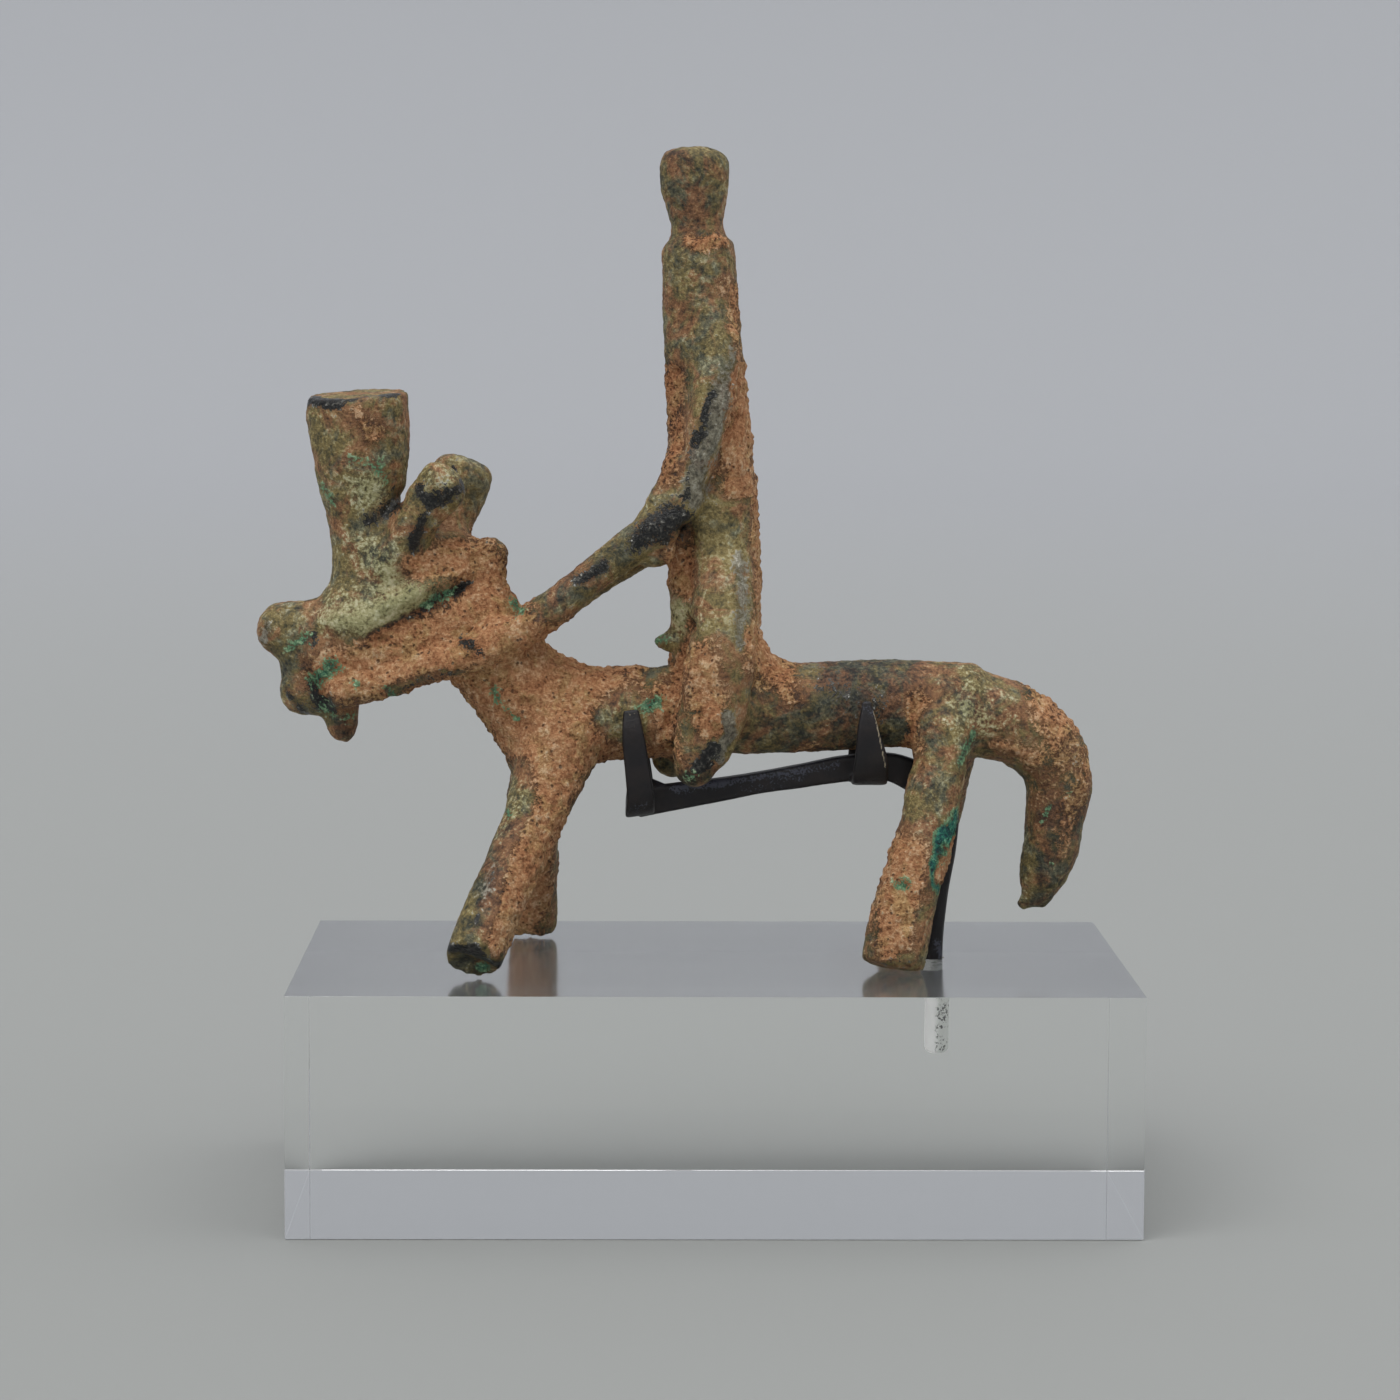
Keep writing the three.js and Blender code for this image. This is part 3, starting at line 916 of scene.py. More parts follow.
@dataclass(frozen=True)
class FrostedHole:
    """The finish of the drilled hole: ground white acrylic with flecks of black paint.

    Its faint glow makes up for the light that is lost between the acrylic and its ground wall.
    """

    frost: Colour = srgb(248, 249, 247)
    haze: Colour = srgb(206, 209, 205)
    fleck: Colour = srgb(30, 28, 28)
    centre: float = 24.0
    shaded_cut: Cut = (-0.35, 0.25)
    fleck_cut: Cut = (0.06, 0.14)
    glow: float = 0.28

    def material(self) -> bpy.types.Material:
        """The material: paler on the side that faces the horse's head, flecked on the other.

        Returns:
            The lining's material.
        """
        paint = Paint("frosted_hole")
        fine = paint.noise(0.3, 4, 0.7)
        broad = paint.noise(1.3, 4, 0.7, 0.6, seed=6)
        grit, cloud = fine - NOISE_MEAN, broad - NOISE_MEAN
        shaded = (paint.axis("X") - self.centre + grit * 0.9).step(*self.shaded_cut)
        flecks = (cloud * 1.6 + grit * 1.4).step(*self.fleck_cut) * shaded
        colour = paint.mix(self.frost, self.haze, shaded)
        colour = paint.mix(colour, self.fleck, flecks * 0.85)
        return paint.finish(
            base_color=colour,
            roughness=0.6,
            emission_color=colour,
            emission_strength=self.glow,
        )


@dataclass(frozen=True)
class PaleGround:
    """The plain pale grey that the object stands on, a little lighter and cooler further away: it is
    painted darker near the middle, as shade.
    """

    near: Colour = srgb(174, 176, 174)
    far: Colour = srgb(184, 186, 190)
    reach: float = 1700.0

    def material(self) -> bpy.types.Material:
        """The material: a flat grey that changes with the distance from the middle.

        Returns:
            The ground's material.
        """
        paint = Paint("pale_ground")
        away = paint.node("ShaderNodeVectorMath", {"operation": "LENGTH"}, {0: paint.place}, "Value")
        # Painted shade: darker near the middle, lighter and cooler further out.
        colour = paint.mix(self.near, self.far, away.step(0.0, self.reach))
        return paint.finish(base_color=colour, roughness=0.9)


class Side(Enum):
    """Which side of the figure a mark is on."""

    NEAR = -1
    FAR = 1


@dataclass(frozen=True)
class Mark:
    """A soft-edged mark on the casting or its cradle, from one place to another.

    `name` says what it stands for. `start` and `end` are x and z as seen from the left side, and
    `radius` is where the mark has faded to about a third.
    """

    name: str
    start: tuple[float, float]
    end: tuple[float, float]
    radius: float
    strength: float = 1.0

    def on(self, places: Array) -> Array:
        """How strong the mark is: strength times exp(-(distance / radius)^2).

        Args:
            places: x and z to a row.

        Returns:
            One number to a row.
        """
        start, end = np.array(self.start), np.array(self.end)
        run = end - start
        length = max(float(run @ run), 1e-9)
        t = np.clip(((places - start) @ run) / length, 0, 1)
        gap = places - start - t[:, None] * run
        return self.strength * np.exp(-np.einsum("ij,ij->i", gap, gap) / self.radius**2)


def marked(places: Array, marks: Iterable[Mark]) -> Array:
    """All the marks of one kind together: one less the product of what each leaves.

    Args:
        places: x and z to a row.
        marks: the marks.

    Returns:
        One number to a row.
    """
    left = np.ones(len(places))
    for mark in marks:
        left *= 1 - np.clip(mark.on(places), -1, 1)
    return 1 - left


# Sandy orange crust.
CRUST = (
    Mark("cheek", (-40.5, 56.5), (-23.5, 62.5), 3.6),
    Mark("jowl", (-34.0, 56.5), (-22.0, 59.5), 2.6, 0.9),
    Mark("neck", (-22.5, 60.0), (-18.0, 55.0), 4.5),
    Mark("breast", (-23.5, 53.5), (-19.5, 49.5), 4.0, 0.9),
    Mark("shoulder", (-16.5, 56.0), (-15.5, 49.0), 4.0, 0.95),
    Mark("withers", (-14.0, 56.5), (-8.0, 55.5), 2.2, 0.75),
    Mark("behind_the_ear", (-30.0, 66.5), (-27.0, 69.0), 2.6),
    Mark("mane", (-24.0, 65.0), (-23.5, 68.0), 2.4, 0.8),
    Mark("beside_the_arm", (2.8, 88.0), (2.0, 77.0), 1.6, 1.3),
    Mark("rider_back", (5.0, 76.0), (5.2, 61.5), 1.3, 0.8),
    Mark("seat", (5.8, 60.5), (8.5, 55.4), 3.1, 1.1),
    Mark("chest_recess", (-4.6, 89.0), (-4.8, 78.0), 1.5, 0.7),
    Mark("groin", (21.8, 54.0), (21.4, 48.5), 1.5),
    Mark("hind_shin", (20.8, 38.2), (18.8, 29.5), 2.6, 1.1),
    Mark("behind_the_streak", (25.9, 40.5), (24.6, 34.5), 0.7, 0.9),
    Mark("rider_shin", (-1.5, 58.0), (-0.2, 52.0), 2.5, 0.95),
    Mark("foot_crease", (-6.0, 55.0), (-5.0, 48.5), 1.6, 0.9),
    Mark("belly", (-15.0, 48.5), (-7.0, 48.4), 1.3, 0.8),
    Mark("foreleg_top", (-16.2, 49.2), (-17.8, 47.0), 3.0),
    Mark("foreleg_inner", (-17.0, 44.0), (-20.0, 36.0), 1.8, 0.9),
    Mark("foreleg_low", (-21.2, 34.0), (-22.4, 29.6), 1.1, 0.8),
    Mark("rein_root", (-21.0, 60.5), (-16.5, 60.6), 2.2, 0.8),
    Mark("headdress_red", (-37.4, 84.6), (-36.2, 82.2), 1.5, 0.75),
    Mark("far_foreleg", (-18.2, 37.0), (-18.8, 27.0), 3.0, 0.85),
    Mark("collar", (-2.7, 102.5), (0.5, 102.5), 1.0, 0.8),
    Mark("shoulder_blade", (2.0, 98.0), (2.6, 88.0), 1.3, 0.6),
    Mark("rump_top", (32.0, 56.0), (37.5, 51.0), 2.2, 0.3),
    Mark("tail_bend", (36.5, 47.5), (35.0, 44.0), 2.2, 0.35),
    Mark("under_the_hand", (-4.5, 69.5), (-3.5, 66.5), 1.6, 0.9),
    Mark("tail_outer", (35.5, 54.0), (39.8, 46.0), 2.6, 0.5),
    Mark("tail_low", (39.5, 44.0), (38.0, 37.0), 1.8, 0.36),
    Mark("tail_root", (30.5, 49.2), (34.0, 48.0), 1.2, 0.6),
    Mark("ear_foot", (-31.0, 68.8), (-27.5, 67.5), 2.0, 1.1),
    Mark("withers_edge", (-13.0, 58.0), (-6.5, 58.2), 1.4, 0.9),
    Mark("loin_under", (9.0, 48.6), (17.0, 49.2), 1.1, 0.5),
)

# Where the crust has come off.
BARE = (
    Mark("flank", (-11.5, 52.0), (-9.2, 54.6), 1.8, 0.5),
    Mark("ribs", (-6.5, 57.0), (-8.0, 50.5), 1.2, 0.35),
    Mark("thigh", (23.5, 52.0), (22.5, 43.0), 2.2, 0.6),
    Mark("loin", (10.0, 56.5), (18.5, 53.0), 3.0, 0.6),
    Mark("flank_behind", (7.0, 52.5), (16.0, 50.5), 2.4, 0.45),
    Mark("rump", (26.0, 56.5), (31.0, 53.5), 2.6, 0.45),
    Mark("foreleg", (-20.2, 46.0), (-25.0, 31.0), 1.6, 0.55),
    Mark("jaw_edge", (-34.4, 56.0), (-25.3, 58.3), 0.8, 0.5),
    Mark("brow", (-40.0, 62.5), (-29.0, 66.5), 1.8, 0.5),
    Mark("headdress", (-38.0, 84.0), (-36.0, 71.0), 3.0, 0.25),
    Mark("rein", (-18.0, 64.5), (-9.0, 70.5), 1.2, 0.45),
    Mark("nose", (-46.5, 61.0), (-43.5, 63.5), 2.2, 0.3),
)

# Grey metal, worn smooth, and one painted highlight on the toe.
WORN = (
    Mark("upper_arm", (1.5, 91.0), (0.8, 86.0), 1.0, 0.5),
    Mark("forearm", (0.6, 86.0), (-2.6, 76.0), 1.5, 0.9),
    Mark("thigh", (2.4, 69.5), (3.0, 60.5), 1.1, 0.65),
    Mark("instep", (1.4, 53.0), (1.7, 50.8), 0.6, 1.2),
    Mark("foreleg_high", (-22.8, 37.2), (-23.8, 34.8), 1.0, 0.4),
    Mark("foreleg_low", (-23.6, 34.6), (-24.6, 33.0), 0.8, 0.3),
    Mark("hip", (26.2, 55.3), (27.6, 54.0), 1.2, 0.3),
    Mark("muzzle_top", (-46.5, 63.0), (-44.5, 63.2), 1.2, 0.2),
    Mark("ear", (-30.5, 76.9), (-29.0, 77.3), 1.0, 0.3),
    Mark("tail_side", (38.4, 49.0), (39.0, 44.0), 0.9, 0.25),
    Mark("instep_low", (1.6, 50.6), (0.6, 49.3), 0.65, 1.2),
    # A painted highlight on the toe, beside the black patch.
    Mark("toe_face", (0.1, 48.0), (0.8, 49.6), 0.65, 1.1),
    Mark("nose", (-48.6, 60.2), (-48.2, 62.0), 0.7, 0.6),
)

# Black metal, and some painted shadow and shade, as noted.
BLACK = (
    Mark("hand", (-5.8, 72.4), (-4.4, 73.6), 2.1, 1.05),
    Mark("arm_line", (-0.1, 86.4), (-1.8, 82.0), 0.75, 0.85),
    Mark("ear_end", (-31.2, 76.7), (-29.6, 75.9), 0.8, 0.9),
    Mark("ear_strip", (-30.4, 73.7), (-31.6, 71.0), 1.0),
    # Painted shade in the crease between the headdress and the ear.
    Mark("headdress_crease", (-36.4, 72.8), (-34.6, 75.0), 1.3, 0.75),
    Mark("muzzle", (-42.7, 55.2), (-42.3, 53.8), 0.9, 0.8),
    Mark("muzzle_band", (-45.2, 59.3), (-42.9, 60.0), 1.0, 0.7),
    # Painted shadow under the brow's edge.
    Mark("brow_line", (-28.4, 64.9), (-26.6, 66.2), 0.7, 0.85),
    Mark("foot_rim_left", (-28.2, 28.6), (-25.6, 29.0), 0.95, 1.1),
    Mark("foot_rim_right", (-25.4, 28.9), (-22.2, 27.3), 0.75, 1.1),
    Mark("foreleg_spot", (-24.8, 31.8), (-24.6, 31.6), 0.5, 0.8),
    Mark("foreleg_gloss", (-22.9, 36.6), (-23.3, 35.8), 0.6, 0.55),
    Mark("far_knee", (-18.2, 34.2), (-18.6, 32.8), 0.6, 0.9),
    Mark("rein_low", (-26.2, 60.0), (-24.6, 59.5), 0.85, 0.75),
    Mark("rein_high", (-14.8, 67.4), (-11.8, 69.0), 1.0, 0.85),
    Mark("hind_foot", (16.6, 27.1), (21.8, 26.6), 0.6, 0.5),
    Mark("toe", (-1.9, 47.4), (-0.3, 48.9), 1.25, 1.1),
    Mark("loin", (11.5, 55.6), (17.5, 53.2), 2.3, 0.48),
    Mark("hip", (26.2, 55.0), (28.0, 53.6), 1.2, 0.3),
    Mark("jaw", (-34.5, 55.2), (-28.0, 57.6), 0.7, 0.55),
    Mark("arm_line_low", (-1.9, 81.6), (-3.3, 76.0), 0.5, 0.6),
    Mark("muzzle_low", (-42.3, 53.6), (-40.7, 53.3), 0.8, 0.85),
    Mark("lip", (-46.2, 54.6), (-43.8, 52.4), 0.7, 0.7),
    # Painted shadow under the brow.
    Mark("brow_shadow", (-32.6, 62.4), (-29.8, 64.0), 0.7, 0.5),
    Mark("hand_tail", (-8.3, 70.9), (-6.0, 72.0), 1.4, 0.95),
    Mark("headdress_patch", (-35.4, 78.8), (-34.6, 77.0), 0.85, 0.5),
    Mark("ear_end_right", (-29.6, 75.9), (-27.0, 76.9), 0.8, 0.9),
)

# Black on the proud edge of the headdress's rim.
LIPS = (
    Mark("headdress_front", (-43.6, 85.7), (-40.6, 86.1), 0.95, 1.8),
    Mark("headdress_back", (-40.6, 86.5), (-33.0, 87.1), 0.55, 1.6),
)

# Green and teal copper salts.
VERDIGRIS = (
    Mark("streak_high", (25.5, 41.9), (24.7, 39.6), 0.65),
    Mark("streak_low", (24.0, 37.6), (23.4, 34.6), 0.5, 0.95),
    Mark("shin_spot", (19.7, 35.3), (20.6, 35.2), 0.8, 0.75),
    Mark("flank_spot", (-7.0, 53.5), (-6.1, 54.0), 1.0, 0.8),
    Mark("rein_spot", (-21.1, 63.9), (-20.6, 63.7), 1.05, 0.8),
    Mark("breast_high", (-23.7, 55.2), (-23.3, 53.9), 0.8, 0.7),
    Mark("breast_low", (-22.2, 52.8), (-20.7, 52.1), 0.6, 0.65),
    Mark("muzzle_side", (-42.4, 55.8), (-40.6, 57.6), 1.35, 0.8),
    Mark("lip_band", (-42.0, 53.2), (-41.0, 52.6), 0.9, 0.6),
    Mark("jaw_spot", (-34.9, 55.6), (-34.1, 54.8), 0.75, 0.75),
    Mark("brow_spot", (-31.4, 64.0), (-28.8, 65.3), 0.75, 0.75),
    Mark("tail_high", (36.0, 41.0), (36.9, 42.2), 0.6, 0.7),
    Mark("tail_low", (37.0, 35.4), (37.2, 35.5), 0.4, 0.7),
    Mark("tail_edge", (38.9, 43.9), (39.1, 43.6), 0.4, 0.7),
    Mark("nub", (-6.4, 60.4), (-5.3, 60.4), 0.8, 0.7),
    Mark("crotch", (28.0, 50.4), (26.4, 47.2), 0.7, 0.7),
    Mark("knob", (-39.4, 51.6), (-39.0, 51.9), 0.6, 0.6),
    Mark("near_foot", (-25.0, 26.6), (-24.2, 26.8), 0.7, 0.8),
    Mark("foreleg_spot", (-21.9, 42.6), (-21.7, 42.2), 0.5, 0.8),
    Mark("headdress_side", (-42.0, 76.5), (-41.5, 74.5), 0.6, 0.6),
    Mark("muzzle_front", (-45.5, 59.2), (-43.8, 59.9), 1.0, 0.65),
    Mark("cheek_spot", (-38.0, 56.0), (-37.8, 55.8), 0.5, 0.65),
    Mark("headdress_blue", (-38.8, 79.8), (-36.4, 79.0), 0.8, 0.5),
    Mark("streak_mid", (24.9, 40.0), (24.2, 37.2), 0.75, 0.9),
    Mark("toe", (-3.0, 46.6), (-2.2, 46.2), 0.7, 0.55),
    Mark("headdress_dark", (-35.8, 79.2), (-35.0, 77.6), 0.9, 0.5),
)

# A pale yellow-green bloom on the patina.
PALE = (
    Mark("brow", (-40.5, 62.8), (-30.0, 66.2), 2.4, 0.72),
    Mark("headdress_foot", (-37.5, 70.0), (-34.0, 67.5), 2.6, 0.5),
    Mark("headdress_mid", (-37.7, 77.2), (-36.0, 75.2), 1.8, 0.55),
    Mark("thigh_edge", (-3.9, 67.5), (-3.7, 61.5), 1.2, 0.7),
    Mark("hip", (25.0, 57.0), (27.0, 50.0), 1.6, 0.25),
    Mark("ear_end", (-30.5, 77.3), (-28.2, 77.6), 0.8, 0.35),
    Mark("foreleg", (-20.0, 44.5), (-21.8, 41.5), 1.5, 0.35),
    Mark("hind_knee", (23.5, 44.0), (22.5, 41.0), 2.0, 0.2),
    Mark("toe", (-3.4, 47.0), (-2.6, 48.4), 1.0, 0.15),
    Mark("brow_lip", (-36.8, 61.7), (-31.6, 64.6), 0.9, 0.5),
    Mark("flank", (-11.0, 52.6), (-9.4, 54.0), 1.9, 0.3),
    Mark("rump", (28.5, 55.5), (31.5, 52.5), 2.4, 0.28),
    Mark("hip_green", (27.6, 53.2), (29.2, 51.2), 1.2, 0.5),
    Mark("headdress_yellow", (-36.4, 78.6), (-36.0, 77.2), 1.2, 0.4),
    Mark("rider_thigh", (-1.0, 72.0), (-2.0, 60.0), 1.6, 0.12),
    Mark("rider_chest", (-2.5, 99.0), (-1.5, 92.0), 2.6, 0.15),
)

# Grooves, which are negative, and ridges. The strength is a height in millimetres.
RELIEF = (
    Mark("under_the_brow", (-36.5, 60.3), (-25.5, 66.5), 0.9, -0.4),
    Mark("leg_crease_high", (-2.8, 72.0), (-3.0, 62.0), 0.8, -0.8),
    Mark("leg_crease_low", (-3.1, 62.0), (-4.9, 51.5), 0.8, -0.8),
    Mark("behind_the_arm_high", (2.6, 93.0), (2.8, 86.0), 0.6, -0.3),
    Mark("behind_the_arm_low", (2.3, 84.5), (-0.4, 76.5), 0.7, -0.45),
    Mark("chest_recess", (-4.2, 89.0), (-3.9, 81.0), 0.8, -0.6),
    Mark("under_the_lip", (-47.0, 57.4), (-44.0, 57.8), 0.7, -0.15),
    Mark("mouth", (-43.2, 56.4), (-41.6, 53.6), 0.6, -0.35),
    Mark("groin", (21.6, 53.5), (21.4, 47.5), 1.2, -0.45),
    Mark("ear_crease", (-33.6, 75.5), (-35.4, 71.5), 0.7, -0.5),
    Mark("between_ear_and_mane", (-29.5, 66.0), (-26.0, 69.0), 1.4, -0.4),
    Mark("shin_ridge", (1.5, 68.0), (0.6, 52.5), 1.8, 0.35),
    Mark("cut_foot", (-26.2, 27.4), (-24.4, 26.9), 0.9, -0.55),
    Mark("nape", (-22.0, 67.5), (-21.2, 63.5), 1.0, -0.5),
    Mark("withers_mound", (-8.6, 57.4), (-6.0, 58.2), 1.3, 0.45),
    Mark("seat_back", (5.6, 63.5), (5.2, 60.5), 1.3, -0.4),
    Mark("rider_back", (4.1, 86.0), (4.6, 79.0), 1.3, -0.3),
    Mark("back_high", (2.9, 93.5), (2.8, 90.5), 1.2, 0.25),
    Mark("chest_line", (-5.4, 101.0), (-5.2, 80.0), 1.2, 0.25),
    Mark("peg_back", (1.0, 111.0), (1.0, 106.0), 1.2, 0.3),
    Mark("peg_front", (-5.8, 111.5), (-5.7, 108.0), 1.0, 0.2),
    Mark("breast_line", (-25.4, 52.5), (-23.6, 49.6), 1.5, -0.4),
    Mark("ear_tips", (-30.2, 79.2), (-24.2, 78.0), 1.3, 0.3),
    Mark("ear_back", (-26.0, 73.5), (-26.0, 71.5), 1.0, -0.25),
    Mark("rump_line", (30.5, 57.0), (35.5, 54.8), 1.5, -0.25),
    Mark("tail_outer", (39.9, 50.4), (40.9, 43.0), 1.4, 0.28),
    Mark("tail_corner", (31.6, 46.6), (33.4, 45.2), 1.2, -0.35),
    Mark("belly_line", (3.5, 48.2), (17.0, 48.8), 1.2, 0.25),
    Mark("headdress_low", (-41.8, 74.0), (-41.2, 70.0), 1.2, -0.2),
    Mark("headdress_left", (-43.4, 84.0), (-43.0, 81.0), 1.0, 0.2),
    Mark("headdress_right", (-32.9, 84.0), (-33.0, 80.0), 1.0, 0.2),
    Mark("hind_shin", (20.2, 40.0), (17.6, 30.0), 1.0, 0.2),
)

# Darker patina and crust, and some painted shadow and shade, as noted.
DARK = (
    Mark("head_peg", (-3.2, 111.5), (-2.8, 104.5), 2.8, 0.45),
    Mark("torso_front", (-3.6, 101.0), (-3.0, 90.0), 2.6, 0.2),
    Mark("loin", (8.5, 55.0), (18.0, 54.0), 4.2, 0.85),
    Mark("flank", (6.0, 50.0), (16.0, 50.5), 2.6, 0.5),
    Mark("tail", (38.0, 41.0), (36.0, 33.0), 3.2, 0.6),
    Mark("muzzle", (-45.0, 57.5), (-41.0, 53.5), 2.0, 0.5),
    Mark("foreleg", (-21.5, 40.0), (-25.0, 31.5), 1.8, 0.55),
    # Painted shade in the hollow of the hip.
    Mark("hip_hollow", (26.0, 55.0), (29.0, 53.0), 2.0, 0.25),
    Mark("hind_thigh", (23.6, 49.5), (22.8, 44.5), 1.0, 0.5),
    Mark("knob", (-40.5, 51.0), (-39.5, 50.0), 1.4, 0.6),
    # Painted shadow under the brow.
    Mark("under_the_brow", (-36.0, 61.0), (-27.0, 65.8), 0.9, 0.9),
    # Painted shade on the cut foot's face, which faces down.
    Mark("foot_face", (-26.5, 26.8), (-23.5, 26.2), 1.3, 0.75),
    Mark("loin_top", (8.0, 56.8), (21.0, 57.2), 1.8, 0.7),
    Mark("toe_tip", (-3.2, 46.6), (-1.5, 45.9), 1.2, 0.9),
    Mark("rein", (-18.0, 65.0), (-9.0, 70.8), 1.6, 0.45),
    # Painted shade in the chest's recess.
    Mark("chest_recess", (-4.6, 89.0), (-4.6, 79.0), 1.2, 0.8),
    Mark("breast", (-20.0, 52.0), (-14.0, 49.0), 3.0, 0.35),
)

# Lighter patina and crust.
LIGHT = (
    Mark("arm", (0.2, 85.0), (-2.5, 76.0), 3.0, 0.4),
    Mark("thigh", (1.8, 70.0), (1.6, 53.0), 2.8, 0.38),
    Mark("seat", (5.4, 62.0), (9.0, 56.5), 2.8, 0.85),
)

# Bare metal on the cradle.
SCRATCHES = (
    Mark("rear_prong", (17.1, 53.0), (18.4, 47.0), 0.1, 0.85),
    Mark("front_prong", (-9.1, 52.9), (-8.4, 51.2), 0.09, 0.5),
    Mark("front_prong_edge", (-7.8, 52.3), (-7.4, 50.2), 0.08, 0.5),
    Mark("front_prong_tip", (-9.2, 52.5), (-8.1, 52.8), 0.09, 0.5),
)

# Greyed paint on the cradle, and painted sheen along the bar's upper edge.
RUBBED = (
    Mark("bar_left", (-4.0, 44.0), (1.2, 44.8), 0.7, 0.8),
    Mark("bar_middle", (3.0, 43.6), (9.5, 45.2), 0.9, 0.35),
    Mark("stem_foot", (24.4, 27.2), (25.0, 25.8), 0.5, 0.8),
    Mark("rear_tip", (16.0, 53.6), (17.2, 52.6), 0.5, 0.5),
    # This mark and the next are painted sheen, not rubbed paint.
    Mark("bar_upper", (0.5, 44.6), (13.5, 46.6), 0.55, 0.6),
    Mark("prong_corner", (-8.9, 42.4), (-7.0, 42.8), 0.8, 0.4),
)


@dataclass
class Casting:
    """The bronze: the CAD solid with softened joins, its own small forms and a rough skin.

    A pair of heights or depths is where an effect starts and where it is whole.
    """

    voxel: float = 0.362
    even_rounds: int = 3
    fillet_rounds: int = 60
    rounds_to_a_normal: int = 15
    last_rounds: int = 2
    shape_rounds: int = 60
    leg_inside: float = 2.0
    leg_top: float = 34.0
    flared: Cut = (34.0, 29.0)
    drawn: Cut = (32.0, 27.5)
    foot_flare: float = 0.3
    forefoot_drop: float = 0.2
    foot_drop: float = 0.55
    broken_drop: float = 0.12
    rim_from: Cut = (82.5, 85.5)
    rim_ahead_of: Cut = (28.0, 30.0)
    rim_lift: float = 0.55
    rim_slope: float = 0.08
    far_softness: float = 0.4
    far_relief: Cut = (-1.0, 1.0)
    far_marks: Cut = (-1.5, 2.5)
    far_shift: tuple[float, float] = (1.3, -0.9)
    hollow_depth: float = 0.35
    proud_height: float = 0.4
    warp_size: float = 3.4
    near_warp: float = 1.5
    far_warp: float = 2.2
    cloud_size: float = 6.0
    crusted: Cut = (0.3, 0.7)
    smoothed: Cut = (0.4, 0.7)
    lump_sizes: tuple[float, float] = (5.0, 2.2)
    lump_height: float = 0.17
    grain_sizes: tuple[float, float] = (1.5, 0.85)
    grain_level: float = 0.45
    grain_height: float = 0.5
    crust_height: float = 0.08
    brow: Rod = Rod(
        (
            (-41.0, -0.2, 61.4, 1.6, 3.6),
            (-37.0, -0.3, 62.9, 1.9, 5.2),
            (-32.0, -0.3, 65.2, 2.0, 5.6),
            (-27.0, 0.0, 67.7, 1.6, 4.6),
        )
    )
    left_toe: Rod = Rod(
        ((-3.0, -5.5, 47.3, 1.35, 1.6), (-1.5, -5.6, 48.1, 1.75, 1.8), (0.2, -5.2, 49.8, 1.9, 1.8))
    )
    left_hand: Rod = Rod(
        ((-8.4, -5.2, 70.6, 1.8, 1.8), (-6.2, -5.4, 72.3, 2.2, 2.1), (-4.2, -5.4, 73.9, 1.9, 1.9))
    )
    elbow: Rod = Rod(
        (
            (-3.5, -4.0, 82.0, 0.9, 0.9),
            (-4.0, -4.3, 79.6, 1.2, 1.2),
            (-5.0, -4.7, 77.2, 1.3, 1.3),
            (-6.2, -5.0, 74.8, 1.3, 1.3),
        )
    )
    under_hand: Rod = Rod(
        ((-8.2, -4.4, 69.7, 0.9, 1.0), (-6.6, -4.6, 69.3, 1.1, 1.2), (-5.0, -4.6, 69.7, 1.0, 1.1))
    )
    mane_tip: Rod = Rod(((-25.4, -0.5, 69.9, 0.9, 1.6), (-23.6, -0.6, 70.2, 0.9, 1.7)))
    tail_tip: Rod = Rod(((34.6, 0.0, 31.9, 0.8, 0.9), (33.9, -0.2, 31.4, 0.75, 0.8)))
    knob: Rod = Rod(((-40.6, -0.5, 51.3, 1.4, 1.3), (-40.2, -0.6, 50.1, 1.25, 1.2)))
    left_arm: Rod = Rod(
        (
            (1.5, -3.9, 93.0, 1.0, 0.9),
            (1.2, -4.2, 89.5, 1.3, 1.2),
            (0.3, -4.5, 85.5, 1.7, 1.5),
            (-1.1, -4.8, 81.7, 1.8, 1.6),
            (-2.0, -5.0, 78.5, 1.8, 1.6),
            (-3.2, -5.2, 75.0, 1.8, 1.7),
        )
    )

    def build(self, node: bpy.types.Object) -> bpy.types.Object:
        """Makes the casting round a copy of the CAD node.

        Args:
            node: the CAD node that the piece stands for.

        Returns:
            The piece, with its marks and its material.
        """
        solid = cad_skin(node)
        large = (self.brow, self.left_toe, self.left_hand, self.left_arm)
        small = (self.elbow, self.under_hand, self.mane_tip, self.tail_tip, self.knob)
        skin = fused(merged([solid] + [rod.skin() for rod in large + small]), self.voxel)
        neighbours = Neighbours(skin.edges(), len(skin.points))
        self.soften(skin, neighbours)
        self.stand(skin, solid)
        self.carve(skin)
        marks = self.marks(skin, neighbours)
        self.roughen(skin, marks)
        return piece_of("bronze_casting", skin, CorrodedBronze().material(), marks)

    def soften(self, skin: Skin, neighbours: Neighbours) -> None:
        """Fills the creases between forms: each round moves a point outwards out of its hollow.

        Args:
            skin: the casting's surface, changed in place.
            neighbours: its edges.
        """
        skin.points = settled(skin.points, neighbours, self.even_rounds)
        for turn in range(self.fillet_rounds):
            if turn % self.rounds_to_a_normal == 0:
                normals = skin.normals()
            pull = neighbours.mean(skin.points) - skin.points
            lift = np.clip(np.einsum("ij,ij->i", pull, normals), 0, None)
            skin.points = skin.points + normals * lift[:, None]
        skin.points = settled(skin.points, neighbours, self.last_rounds)

    def foot(self, points: Array, end: int, side: Side) -> Array:
        """Which points belong to one leg's lower half.

        Args:
            points: places in millimetres.
            end: -1 for a foreleg and 1 for a hind leg.
            side: which leg of the two.

        Returns:
            A truth value to a point.
        """
        outwards = points[:, :2] * np.array([end, side.value])
        return (outwards > self.leg_inside).all(axis=1) & (points[:, 2] < self.leg_top)

